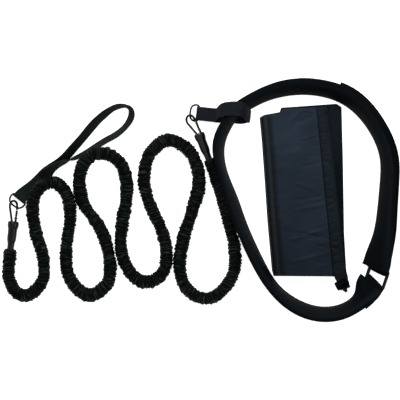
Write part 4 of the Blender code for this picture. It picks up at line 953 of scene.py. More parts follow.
def makeHandStrap():
    width, thickness, clearance = webbing["width"], webbing["thickness"], webbing["clearance"]
    spot, heading = handStrap["ringPlace"], handStrap["ringHeading"]
    ringHeight = handStrap["ringHeight"]
    ring = place(*spot) + upwards * ringHeight
    wrap, radius = roundBar(ring, heading, webbing["ringWire"])
    low = clearance + thickness / 2
    high = low + thickness + clearance
    way = level(heading)
    at, length = smoothThrough([(*spot, 0, 0), *strapRoute], startSlope=(way.x, way.y, 0, 0))
    stem = math.dist(strapRoute[0][:2], spot)
    stem += sum(math.dist(strapRoute[i][:2], strapRoute[i + 1][:2]) for i in range(handStrap["stemRows"] - 1))

    def row(distance, ply):
        x, y, lean, lift = at(distance)
        tangent = at(min(distance + 0.001, length)) - at(max(distance - 0.001, 0))
        sideways = Vector((-tangent[1], tangent[0], 0)).normalized()
        angle = math.radians(max(lean, 0))
        across = sideways * math.cos(angle) + upwards * math.sin(angle)
        height = width / 2 * math.sin(angle) + thickness / 2 * abs(math.cos(angle))
        middle = place(x, y, max(lift, clearance) + height)
        drop = eased(distance / handStrap["dropLength"])
        near = eased(distance / handStrap["wrapLength"])
        apart = (radius * (1 - near) + (high - low) / 2 * near) * ply
        flat = ringHeight * (1 - drop) + (low + high) / 2 * drop + apart
        middle.z = max(middle.z, flat * (1 - eased((distance - stem) / handStrap["settleLength"])))
        return middle, across

    first = handStrap["firstRow"]
    lower = [row(distance, -1) for distance in np.linspace(stem, first, 26)]
    upper = [row(distance, 1) for distance in np.linspace(first, length, 230)]
    mesh = bandAlong("handStrap", lower + wrap + upper, width, thickness, handStrap["wave"])
    addPiece("handStrap", mesh, "belt", finishes["strap"], ["handle_webbing"])
    ringSpot, ringSize = handStrap["ringStitching"]
    loopSpot, loopSize = handStrap["loopStitching"]
    for name, node, distance, size in (
        ("handStrapRingStitching", "handle_ring_stitching", ringSpot, ringSize),
        ("handStrapLoopStitching", "handle_loop_stitching", length - loopSpot, loopSize),
    ):
        middle, across = row(distance, 1)
        ahead = (row(distance + 0.002, 1)[0] - row(distance - 0.002, 1)[0]).normalized()
        out = ahead.cross(across).normalized()
        out = out if out.z > 0 else -out
        sewn = width * handStrap["stitchedShare"]
        lines = boxLines(middle + out * thickness / 2, ahead, across, out, size, sewn)
        stitchRows(name, lines, [node])
    print("hand strap made")


makeHandStrap()


# Waist pad

waistPad = {
    "width": 0.05,
    "thickness": 0.008,
    "edge": 0.0044,
    "plump": 0.0012,
    "rowSpacing": 0.0035,
    "lowerHeading": 231.0,
    "upperHeading": 243.5,
    "ripple": 0.0005,
    "pipingWire": 0.0011,
    "pinchLength": 0.014,
    "pinch": 0.55,
}
padRoute = [
    (0.3, -0.1485, 8, 0.0086), (0.2849, -0.1704, 50, 0.0046), (0.2566, -0.194, 69, 0.0004),
    (0.2156, -0.2034, 67.5, 0.0004), (0.1695, -0.1919, 67, 0.0004), (0.1276, -0.1594, 71, 0.0004),
    (0.0965, -0.11, 69, 0.0004), (0.0634, -0.0354, 68.5, 0.0004), (0.0502, 0.001, 67.5, 0.0004),
    (0.0346, 0.0475, 75, 0.0004), (0.0272, 0.091, 71, 0.0006), (0.0302, 0.109, 70.5, 0.0014),
    (0.0436, 0.1366, 72.5, 0.003), (0.058, 0.1565, 71, 0.003), (0.078, 0.1703, 69, 0.003),
    (0.1022, 0.183, 68, 0.001), (0.15, 0.1976, 64.5, 0.0004), (0.2055, 0.1972, 65, 0.0004),
    (0.257, 0.1793, 65, 0.0004), (0.3012, 0.134, 68.5, 0.0004), (0.327, 0.0684, 68, 0.0004),
    (0.327, 0.035, 67, 0.0004), (0.3232, -0.0183, 64, 0.0004), (0.317, -0.0718, 52, 0.002),
    (0.3106, -0.102, 32, 0.005), (0.3055, -0.125, 8, 0.0073),
]  # middle as seen from above, lean from flat in degrees and lift off the surface


def padFrames():
    # from a distance along the pad, back from its upper end, to its lowest outer corner and its directions
    away, onward = level(waistPad["lowerHeading"]), level(waistPad["upperHeading"])
    at, length = smoothThrough(padRoute, (away.x, away.y, 600, -0.05), (onward.x, onward.y, -800, 0.05))

    def frameAt(distance):
        distance = length - distance
        x, y, lean, lift = at(min(max(distance, 0), length))
        tangent = at(min(distance + 0.001, length)) - at(max(distance - 0.001, 0))
        heading = Vector((tangent[0], tangent[1], 0)).normalized()
        outward = Vector((-heading.y, heading.x, 0))
        angle = math.radians(min(max(lean, 0), 85))
        width = outward * math.cos(angle) + upwards * math.sin(angle)
        skin = upwards * math.cos(angle) - outward * math.sin(angle)
        shift = (waistPad["width"] * math.cos(angle) - waistPad["thickness"] * math.sin(angle)) / 2
        beyond = min(distance, 0) + max(distance - length, 0)
        return place(x, y, max(lift, 0.0003)) - outward * shift + heading * beyond, width, skin, heading

    return frameAt, length


padAt, padLength = padFrames()


def padRise(share):
    # how deep the crowned side lies at a share of the width
    edge = waistPad["edge"]
    deepest = waistPad["thickness"] + waistPad["plump"]
    return edge + (deepest - edge) * (1 - abs(2 * share - 1) ** 2.6) ** 0.6


def padOutline():
    # across and deep: flat outside, crowned on the wearer's side, from the lower outer edge round
    width, edge = waistPad["width"], waistPad["edge"]
    flat = [(share, 0.0) for share in (0.03, 0.15, 0.3, 0.5, 0.7, 0.85, 0.97)]
    farSide = [(0.992, 0.12), (1.0, 0.4), (1.004, 0.8), (1.0, 1.15)]
    crowned = (0.975, 0.93, 0.86, 0.76, 0.64, 0.5, 0.36, 0.24, 0.14, 0.07, 0.025)
    nearSide = [(0.0, 1.15), (-0.004, 0.8), (0.0, 0.4), (0.008, 0.12)]
    outline = [(width * a, edge * b) for a, b in flat + farSide]
    outline += [(width * share, padRise(share)) for share in crowned]
    return outline + [(width * a, edge * b) for a, b in nearSide]


def padPoint(distance, across, deep):
    corner, width, skin, _ = padAt(distance)
    return corner + width * across + skin * deep


def makeWaistPad():
    width, edge = waistPad["width"], waistPad["edge"]
    outline = padOutline()
    size = len(outline)
    stops = list(np.linspace(0, padLength, int(padLength / waistPad["rowSpacing"])))
    middle = waistPad["thickness"] * 0.45
    rings, lit = [], []
    for stop in stops:
        corner, wide, skin, _ = padAt(stop)
        nearEnd = min(stop, padLength - stop)
        opened = math.sqrt(eased(nearEnd / waistPad["pinchLength"]))
        pinch = waistPad["pinch"] + (1 - waistPad["pinch"]) * opened
        # how strong the crown's painted highlight is, varying along the pad
        crownHighlightStrength = 0.45 + 0.55 * eased(noise.noise((stop / 0.22, 3.1, 0.4)) + 0.6)
        ring = []
        for across, deep in outline:
            share = across / width
            side = max(0.0, min(1.0, (deep - edge * 0.8) / 0.003))
            swell = noise.noise((stop / 0.045, share * 1.3, 0.7))
            swell += 0.5 * noise.noise((stop / 0.016, share * 2.1, 4.2))
            depth = middle + (deep - middle) * pinch + waistPad["ripple"] * swell * side
            ring.append(corner + wide * across + skin * depth)
            # the crown attribute marks a painted highlight on the crowned side, towards its far long edge
            inside = 1.0 if deep > edge * 1.1 else 0.0
            lit.append(crownHighlightStrength * inside * eased((share - 0.62) / 0.3) * (1 - eased((share - 0.94) / 0.05)))
        rings.append(ring)
    mesh = skinOver("waistPad", rings, aroundOf(outline), stops)
    mesh.attributes.new("crown", "FLOAT", "POINT").data.foreach_set("value", lit)
    pad = addPiece("waistPad", mesh, "belt", finishes["pad"], ["waist_cover", "waist_foam"])
    mesh.materials.append(finishes["padBack"])
    for face in mesh.polygons:
        k = face.index % size
        if len(face.vertices) == 4 and (k < 8 or k > size - 3):
            face.material_index = 1
    stops = np.linspace(0.003, padLength - 0.003, 300)
    for name, share in (("lowerPiping", 0.022), ("upperPiping", 0.978)):
        line = [padPoint(stop, width * share, -0.0001) for stop in stops]
        piping = roundSkin(name, line, waistPad["pipingWire"], 8)
        addPiece(name, piping, "belt", finishes["padBack"], ())
    stops = np.linspace(0.01, padLength - 0.01, 500)
    seams = [[padPoint(stop, width * share, padRise(share)) for stop in stops] for share in (0.05, 0.955)]
    stitchRows("padEdgeStitching", seams, pitch=0.0034, thread=0.0004)
    print("waist pad made:", round(padLength, 3), "m")


makeWaistPad()


# Ring between the pad's ends, the tail through it and the tab that holds it

buckle = {
    "middle": (0.3094, -0.1411),
    "height": 0.0066,
    "heading": 70.9,
    "roll": 8.0,
    "wire": 0.0046,
    "sideExtra": 0.0009,
    "innerWidth": 0.0295,
    "length": 0.0344,
    "corner": 0.004,
}
layers = {
    "clearance": 0.0006,
    "patchThickness": 0.0015,
    "patchWidth": 0.024,
    "tailLength": 0.352,
    "tailSewn": 0.041,
    "tailNearest": 0.009,
    "loopPatchEnd": 0.42,
    "hookPatchLength": 0.11,
    "tailInset": 0.0005,
    "ringInset": 0.004,
    "ringBlend": 0.09,
    "tabSewn": 0.041,
    "patchStart": 0.005,
    "tailDrop": (0.0004, 0.62, 0.01, 0.044),
    "tabDrop": (-0.0003, 1.0, 0.006, 0.02),
}  # drops past the ring's bar: over its wire, share, start and length


def layerRow(distance, deep, way):
    # a row of webbing against the pad's outer face, its middle that deep below the face
    corner, width, skin, _ = padAt(distance)
    nearEnd = min(distance, padLength - distance)
    blend = eased(nearEnd / layers["ringBlend"])
    inset = layers["ringInset"] + (layers["tailInset"] - layers["ringInset"]) * blend
    across = waistPad["width"] - inset - webbing["width"] / 2
    return corner + width * across - skin * deep, width, skin * way


def buckleAxes():
    roll = math.radians(buckle["roll"])
    sideways = level(buckle["heading"] - 90) * math.cos(roll) + upwards * math.sin(roll)
    return sideways, sideways.cross(level(buckle["heading"]))


def buckleBars():
    middle = place(*buckle["middle"], buckle["height"])
    half = level(buckle["heading"]) * buckle["length"] / 2
    return middle - half, middle + half


def makeBuckleRing():
    lower, upper = buckleBars()
    heading = level(buckle["heading"])
    sideways, _ = buckleAxes()
    corner, wire = buckle["corner"], buckle["wire"] / 2
    middle = (lower + upper) / 2
    x, y = buckle["innerWidth"] / 2 + wire - corner, buckle["length"] / 2 - corner
    points, radii = [], []
    for quarter, (a, b) in enumerate(((x, y), (-x, y), (-x, -y), (x, -y))):
        for i in range(9):
            angle = math.radians(90 * quarter + 90 * i / 8)
            aside, ahead = a + corner * math.cos(angle), b + corner * math.sin(angle)
            points.append(middle + sideways * aside + heading * ahead)
            radii.append(wire + buckle["sideExtra"] * abs(math.cos(angle)) ** 2)
        if quarter % 2 == 1:
            # the middle of a long side
            points.append(middle + sideways * (a + corner * math.cos(math.radians(90 * quarter + 90))))
            radii.append(wire + buckle["sideExtra"])
    mesh = roundSkin("buckleRing", points, radii, 20, closed=True)
    addPiece("buckleRing", mesh, "belt", finishes["steel"], ["buckle_ring"])


def barLoop(bar, inward, radius, goal, turns=15):
    # rows round a ring's bar, from above it, round its inner side, to below it, each edge turned to the
    # next row
    sideways, up = buckleAxes()
    half = webbing["width"] / 2
    rows = []
    for i in range(turns):
        edges = []
        for side in (-1, 1):
            start = bar + sideways * half * side
            away = goal[0] + goal[1] * half * side - start
            slope = math.atan2(away.dot(up), -away.dot(inward))
            angle = math.pi / 2 - slope - math.pi * i / (turns - 1)
            edges.append(start + inward * radius * math.cos(angle) + up * radius * math.sin(angle))
        rows.append(((edges[0] + edges[1]) / 2, (edges[1] - edges[0]) / webbing["width"]))
    return rows


def stopsBetween(first, last, spacing=0.0035):
    return list(np.linspace(first, last, max(3, int(round((last - first) / spacing)))))


def barRadius():
    return buckle["wire"] / 2 + layers["clearance"] + webbing["thickness"] / 2


def barDrop(key, fromEnd):
    # how much deeper a webbing lies where it passes the ring's bar
    extra, share, start, length = layers[key]
    return (buckle["wire"] + extra) * (1 - eased((fromEnd - start) / length)) * share


def makeTail():
    gap, patch, thickness = layers["clearance"], layers["patchThickness"], webbing["thickness"]
    _, upperBar = buckleBars()
    sewn = stopsBetween(layers["tailNearest"], layers["tailSewn"])
    rows = [layerRow(distance, 2 * gap + thickness / 2, 1) for distance in sewn[::-1]]
    rows += barLoop(upperBar, -level(buckle["heading"]), barRadius(), rows[-1])
    tailDeep = gap * 3 + patch * 2 + thickness / 2
    tailEnd = layers["tailLength"]
    for distance in stopsBetween(layers["tailNearest"], tailEnd):
        rows.append(layerRow(distance, tailDeep + barDrop("tailDrop", distance), -1))
    mesh = bandAlong("tailWebbing", rows, webbing["width"], thickness)
    addPiece("tailWebbing", mesh, "belt", finishes["tail"], ["tail_webbing"])
    loopStart, hookStart = layers["tailSewn"] + layers["patchStart"], tailEnd - layers["hookPatchLength"]
    for name, node, finishName, first, last, deep in (
        ("loopPatch", "loop_patch", "loops", loopStart, layers["loopPatchEnd"], gap + patch / 2),
        ("hookPatch", "hook_patch", "hooks", hookStart, tailEnd, 2 * gap + patch * 1.5),
    ):
        rows = [layerRow(stop, deep, -1) for stop in stopsBetween(first, last)]
        mesh = bandAlong(name, rows, layers["patchWidth"], patch)
        addPiece(name, mesh, "belt", finishes[finishName], [node])
    print("tail made")


def makeRingTab():
    gap, thickness = layers["clearance"], webbing["thickness"]
    lowerBar, _ = buckleBars()
    first = 2 * gap + thickness / 2
    second = first + thickness + gap
    sewn = stopsBetween(padLength - layers["tabSewn"], padLength - layers["tailNearest"])
    rows = [layerRow(distance, first, -1) for distance in sewn]
    rows += barLoop(lowerBar, level(buckle["heading"]), barRadius(), rows[-1])
    rows += [layerRow(stop, second + barDrop("tabDrop", padLength - stop), 1) for stop in sewn[::-1]]
    mesh = bandAlong("ringTab", rows, webbing["width"], thickness)
    addPiece("ringTab", mesh, "belt", finishes["tail"], ["ring_tab"])


endFold = {
    "height": 0.0116,
    "unevenness": 0.0005,
    "girth": 0.06,
    "sides": 60,
    "section": [
        (0.0, 0.0018), (0.35, 0.0017), (0.7, 0.0013), (0.9, 0.0008), (1.0, 0.0), (0.9, -0.0008),
        (0.0, -0.001),
    ],  # share of the way to the edge and rise
    "lowerEndFold": [
        (0.2938, -0.1325), (0.2985, -0.1345), (0.308, -0.1435), (0.3182, -0.154), (0.3215, -0.163),
        (0.319, -0.1665), (0.303, -0.158), (0.291, -0.145),
    ],
    "upperEndFold": [
        (0.2865, -0.1135), (0.2945, -0.1215), (0.3005, -0.1272), (0.3125, -0.1332), (0.3215, -0.1374),
        (0.3295, -0.1385), (0.332, -0.131), (0.3325, -0.1215), (0.308, -0.1115),
    ],
}


def makeEndFolds():
    # the cover's two ends, turned back over the ring's bars
    sides = endFold["sides"]
    around = [endFold["girth"] * k / sides for k in range(sides + 1)]
    for name in ("lowerEndFold", "upperEndFold"):
        line = [Vector(corner) for corner in endFold[name]]
        spot = sum(line, Vector((0, 0))) / len(line)
        edge = evenPoints([(*point, 0) for point in [*line, line[0]]], sides + 1)[:-1]
        rings, stops = [], []
        for share, rise in endFold["section"]:
            reach = max(share, 0.02)
            ring = []
            for point in edge:
                x, y = spot.x + (point[0] - spot.x) * reach, spot.y + (point[1] - spot.y) * reach
                bump = endFold["unevenness"] * noise.noise((x * 120, y * 120, 2.0))
                ring.append(place(x, y, endFold["height"] + rise + bump))
            rings.append(ring)
            stops.append(share * 0.01)
        mesh = skinOver(name, rings, around, stops)
        addPiece(name, mesh, "belt", finishes["tail"], ())


makeBuckleRing()
makeTail()
makeRingTab()
makeEndFolds()


# Tab that folds round the pad, with its D ring

beltTab = {
    "ringPlace": (-0.0106, 0.1544),
    "ringHeight": 0.0056,
    "heading": -8.0,
    "tilt": 34.0,
    "split": (0.031, 0.023),
    "padHeading": 55.0,
    "wave": 0.0006,
    "turnPlace": (0.0912, 0.006),
    "turnReach": 0.009,
    "turnDrawn": 0.22,
    "wrapLength": 0.016,
    "riseLength": 0.01,
    "firstRow": 0.004,
    "stitchAt": (0.6, 0.72, 0.8),
    "stitchLength": 0.009,
    "stitchedShare": 0.7,
}  # where the webbing turns under the pad it is drawn in; stitchAt: shares of the way to the split
tabLoop = [
    (0.033, 0.015, 0.0), (0.039, 0.008, 0.001), (0.047, 0.0026, 0.0025), (0.057, 0.0013, 0.004),
    (0.071, 0.0013, 0.0045), (0.0835, 0.0014, 0.005), (0.0895, 0.0036, 0.005), (0.0905, 0.009, 0.0055),
    (0.087, 0.02, 0.008), (0.0795, 0.037, 0.013), (0.0715, 0.051, 0.016), (0.065, 0.0564, 0.017),
    (0.057, 0.0568, 0.017), (0.047, 0.0564, 0.015), (0.0385, 0.0545, 0.012), (0.034, 0.049, 0.0085),
    (0.0325, 0.04, 0.0045), (0.032, 0.031, 0.0012),
]  # along the tab from its ring's bar, height, and along the pad
dRing = {"wire": 0.0035, "innerWidth": 0.026, "depth": 0.017, "bow": 3.0, "corner": 0.12, "cornerReach": 0.25}


def makeDRing(name, node, barMiddle, heading, tilt, body):
    bar = level(heading - 90)
    bow = -level(heading) * math.cos(math.radians(tilt)) + upwards * math.sin(math.radians(tilt))
    half = (dRing["innerWidth"] + dRing["wire"]) / 2
    points = []
    for i in range(49):
        angle = math.pi * i / 48
        across = math.copysign(abs(math.cos(angle)) ** (2 / dRing["bow"]), math.cos(angle))
        deep = max(math.sin(angle), 0.0) ** (2 / dRing["bow"])
        across *= 1 - dRing["corner"] * max(0.0, 1 - deep / dRing["cornerReach"]) ** 2
        points.append(barMiddle + bar * half * across + bow * dRing["depth"] * deep)
    points = [Vector(point) for point in evenPoints([*points, points[0]], 97)[:-1]]
    mesh = roundSkin(name, points, dRing["wire"] / 2, 16, closed=True)
    addPiece(name, mesh, body, finishes["steel"], [node])


def makeBeltTab():
    width, thickness, clearance = webbing["width"], webbing["thickness"], webbing["clearance"]
    spot, heading = beltTab["ringPlace"], beltTab["heading"]
    ringHeight = beltTab["ringHeight"]
    ring = place(*spot) + upwards * ringHeight
    wrap, radius = roundBar(ring, heading, webbing["ringWire"])
    ahead, across = level(heading), -level(heading - 90)
    split = beltTab["split"]
    rise = (split[1] - ringHeight) / split[0]
    pitch = thickness + clearance

    def stem(distance, ply):
        near = eased(distance / beltTab["wrapLength"])
        apart = math.copysign(radius * (1 - near) + pitch / 2 * near * abs(ply), ply)
        height = ringHeight + rise * distance * eased(distance / beltTab["riseLength"]) + apart
        return place(*spot) + ahead * distance + upwards * height, across

    rows = [stem(distance, -3) for distance in np.linspace(split[0] * 0.62, split[0], 6)]
    shares = [1.0] * len(rows)
    at, length = smoothThrough(tabLoop)
    for distance in np.linspace(0, length, 110):
        x, z, aside = at(distance)
        apart = math.dist((x, z), beltTab["turnPlace"]) / beltTab["turnReach"]
        shares.append(1 - beltTab["turnDrawn"] * math.exp(-apart ** 2))
        spared = across * width * (1 - shares[-1]) / 2
        middle = place(*spot) + ahead * x + level(beltTab["padHeading"]) * aside + spared + upwards * z
        rows.append((middle, across))
    first = beltTab["firstRow"]
    rows += [stem(distance, 1) for distance in np.linspace(split[0], first, 14)]
    rows += wrap[::-1]
    rows += [stem(distance, -1) for distance in np.linspace(first, split[0], 14)]
    shares += [1.0] * (len(rows) - len(shares))
    mesh = bandAlong("beltTab", rows, width, thickness, beltTab["wave"], shares=shares)
    addPiece("beltTab", mesh, "belt", finishes["tab"], ["tab_webbing"])
    before, middle, after = [stem(split[0] * share, 1)[0] for share in beltTab["stitchAt"]]
    slope = (after - before).normalized()
    out = across.cross(-slope).normalized()
    sewn = width * beltTab["stitchedShare"]
    lines = boxLines(middle + out * thickness / 2, slope, across, out, beltTab["stitchLength"], sewn)
    stitchRows("beltTabStitching", lines, ["tab_stitching"])
    makeDRing("beltRing", "belt_d_ring", ring, heading, beltTab["tilt"], "belt_ring")
    ring = place(*handStrap["ringPlace"], handStrap["ringHeight"])
    makeDRing("handleRing", "handle_d_ring", ring, handStrap["ringHeading"], 0, "handle_ring")
    print("belt tab and rings made")


makeBeltTab()


# Pouch

lockPlace = {"middle": (0.248, -0.1516), "height": 0.0083, "heading": 28.0}
pouch = {
    "sheet": 0.0016,
    "clearance": 0.0003,
    "roll": 0.0075,
    "hemWidth": 0.023,
    "hemThickness": 0.0056,
    "hemTop": (0.2122, 0.1666),
    "hemBottom": (0.2426, -0.136),
    "topReach": 0.12,
    "creases": [
        ((0.153, 0.139), (0.178, 0.161), 0.003, 0.0028), ((0.16, 0.135), (0.196, 0.15), 0.004, -0.0016),
        ((0.166, 0.03), (0.208, 0.012), 0.0035, 0.0022), ((0.16, -0.002), (0.212, 0.006), 0.0035, -0.0018),
        ((0.158, -0.022), (0.219, -0.006), 0.003, 0.0018), ((0.15, -0.058), (0.224, -0.07), 0.0035, -0.0022),
        ((0.152, -0.074), (0.222, -0.052), 0.003, 0.002), ((0.16, -0.112), (0.226, -0.096), 0.0035, 0.0018),
        ((0.135, 0.075), (0.175, 0.09), 0.006, 0.0012), ((0.132, -0.03), (0.16, -0.05), 0.006, 0.001),
    ],  # ends of each, its half width and its height
    "edgeRidge": ((0.1125, 0.13), (0.1325, -0.12), 0.0016, 0.0007),
    "frontCloth": (110, 220, 0.1, 0.3),
    "backCloth": (90, 160, 0.15, 0.31),
    "hemCells": (30, 420),
    "foldRadius": 0.005,
    "lipRadius": 0.0025,
    "fall": 0.28,
    "puckerReach": (0.018, 0.03),
    "puckerSlant": 0.012,
    "puckerWidth": 0.0022,
    "puckerHeight": 0.0013,
    "backRise": 0.0012,
    "hemWobble": 0.0006,
    "tuckWidth": 0.002,
    "tuckSlant": 0.004,
    "tuckDepth": 0.0017,
    "hemSeams": (0.1, 0.9),
}  # cloths: cells across and along, then metres across and along
hemPuckers = [
    (0.035, 1), (0.072, 0.7), (0.155, 1), (0.18, 0.8), (0.26, 0.6), (0.295, 0.9), (0.33, 0.9), (0.41, 0.7),
    (0.5, 0.6), (0.545, 0.8), (0.58, 0.8), (0.66, 0.5), (0.75, 0.8), (0.8, 0.6), (0.84, 0.9), (0.93, 0.7),
]  # places along the hem, as shares, and their strength
frontSides = {
    "left": [
        (0.1015, 0.1455), (0.1055, 0.104), (0.1105, 0.035), (0.1155, -0.039), (0.1235, -0.1265),
        (0.126, -0.1365),
    ],
    "top": [(0.1015, 0.1455), (0.109, 0.1505), (0.137, 0.1555), (0.14, 0.1635), (0.199, 0.1676)],
}  # the rolled edge from above to below, and the upper edge
backSides = {
    "left": [(0.1, 0.147), (0.104, 0.104), (0.109, 0.035), (0.114, -0.039), (0.122, -0.127), (0.125, -0.138)],
    "right": [(0.2475, 0.166), (0.25, 0.068), (0.252, -0.057), (0.255, -0.112), (0.257, -0.139)],
    "top": [(0.1, 0.147), (0.108, 0.152), (0.136, 0.157), (0.139, 0.165), (0.238, 0.172), (0.2475, 0.166)],
}
hemEnd = {
    "first": (0.2442, -0.1325, 0),
    "last": (0.2538, -0.1605, 0),
    "wide": (0.0122, 0.0072),
    "high": (0.0026, 0.0052),
    "flare": 0.0012,
    "pleats": 11,
    "rows": 34,
    "sides": 60,
    "girth": 0.06,
}  # wide and high: half sizes at its upper and its lower end


def alongLine(points, share):
    # the place at a share of the way along a line of plan points
    steps = np.concatenate([[0], np.cumsum([math.dist(a, b) for a, b in zip(points, points[1:])])])
    wanted = share * steps[-1]
    return (float(np.interp(wanted, steps, [point[0] for point in points])),
            float(np.interp(wanted, steps, [point[1] for point in points])))


def betweenSides(a, b, left, right, top):
    # a place across a sheet from its left side to its right one, bowed near the top as the top edge is
    chord, bowed = alongLine([top[0], top[-1]], a), alongLine(top, a)
    blend = 1 - eased(b / pouch["topReach"])
    return tuple(left[k] * (1 - a) + right[k] * a + (bowed[k] - chord[k]) * blend for k in (0, 1))


def clothSlab(name, spot, height, low, columns, rows, width, length):
    # a closed sheet whose upper side is shaped: spot and height are read at shares across it and along it
    stride = columns + 1
    top, bottom = [], []
    for j in range(rows + 1):
        for i in range(stride):
            a, b = i / columns, j / rows
            x, y = spot(a, b)
            top.append(tuple(place(x, y, height(a, b))))
            bottom.append(tuple(place(x, y, low)))
    count = stride * (rows + 1)
    faces, mapping = [], []

    def uv(i, j):
        return i / columns * width, j / rows * length

    for j in range(rows):
        for i in range(columns):
            first = j * stride + i
            quad = (first, first + 1, first + stride + 1, first + stride)
            corners = [uv(i, j), uv(i + 1, j), uv(i + 1, j + 1), uv(i, j + 1)]
            faces += [quad, tuple(count + corner for corner in quad[::-1])]
            mapping += [corners, corners[::-1]]
    rim = list(range(stride))
    rim += [j * stride + columns for j in range(1, rows + 1)]
    rim += [rows * stride + i for i in range(columns - 1, -1, -1)]
    rim += [j * stride for j in range(rows - 1, 0, -1)]
    for first, second in zip(rim, rim[1:] + rim[:1]):
        faces.append((second, first, count + first, count + second))
        mapping.append([uv(*divmod(corner, stride)[::-1]) for corner in (second, first, first, second)])
    return closedMesh(name, top + bottom, faces, mapping, 60)


def roundedOff(share):
    # rises from 0 to 1 as a quarter circle does
    return math.sqrt(max(0.0, 1 - (1 - min(share, 1)) ** 2))


def wrinkle(x, y, scale, seed):
    return noise.noise((x / scale, y / scale, seed))


def crease(x, y, first, second, wide, high):
    # a low ridge along a straight crease
    a, b = Vector(first), Vector(second)
    spot = Vector((x, y))
    way = b - a
    share = min(max((spot - a).dot(way) / way.length_squared, 0), 1)
    apart = (spot - (a + way * share)).length
    paintedShadeFalloff = math.sin(math.pi * min(max(share, 0.02), 0.98)) ** 0.5
    return high * paintedShadeFalloff * math.exp(-((apart / wide) ** 2))


def gatheredEnd(base):
    # the hem's lower end, drawn together in pleats towards the cord lock
    rings, stops = [], []
    rows, sides = hemEnd["rows"], hemEnd["sides"]
    first, last = Vector(hemEnd["first"]), Vector(hemEnd["last"])
    run = (last - first).normalized()
    across = Vector((-run.y, run.x, 0))
    (wideFirst, wideLast), (highFirst, highLast) = hemEnd["wide"], hemEnd["high"]
    for i in range(rows + 1):
        share = i / rows
        middle = first.lerp(last, share)
        flared = hemEnd["flare"] * max(0.0, share - 0.8) / 0.2
        wide = wideFirst + (wideLast - wideFirst) * share + flared
        high = highFirst + (highLast - highFirst) * eased(share) + flared
        ring = []
        for k in range(sides):
            angle = 2 * math.pi * k / sides
            cosine, sine = math.cos(angle), math.sin(angle)
            pleat = math.sin(angle * hemEnd["pleats"] + 2.5 * noise.noise((share * 2.2, k * 0.13, 4.4)))
            ruck = 1 + (0.04 + 0.13 * share) * pleat + 0.08 * noise.noise((share * 5, cosine * 2, sine * 2))
            spot = middle + across * wide * cosine * ruck
            z = high * sine * ruck
            ring.append(place(spot.x, spot.y, max(0.0006, base + 0.0028 + 0.0022 * share + z)))
        rings.append(ring)
        stops.append(share * 0.017)
    around = [hemEnd["girth"] * k / sides for k in range(sides + 1)]
    mesh = skinOver("gatheredEnd", rings, around, stops)
    return addPiece("gatheredEnd", mesh, "belt", finishes["shadedNavyGather"], ())


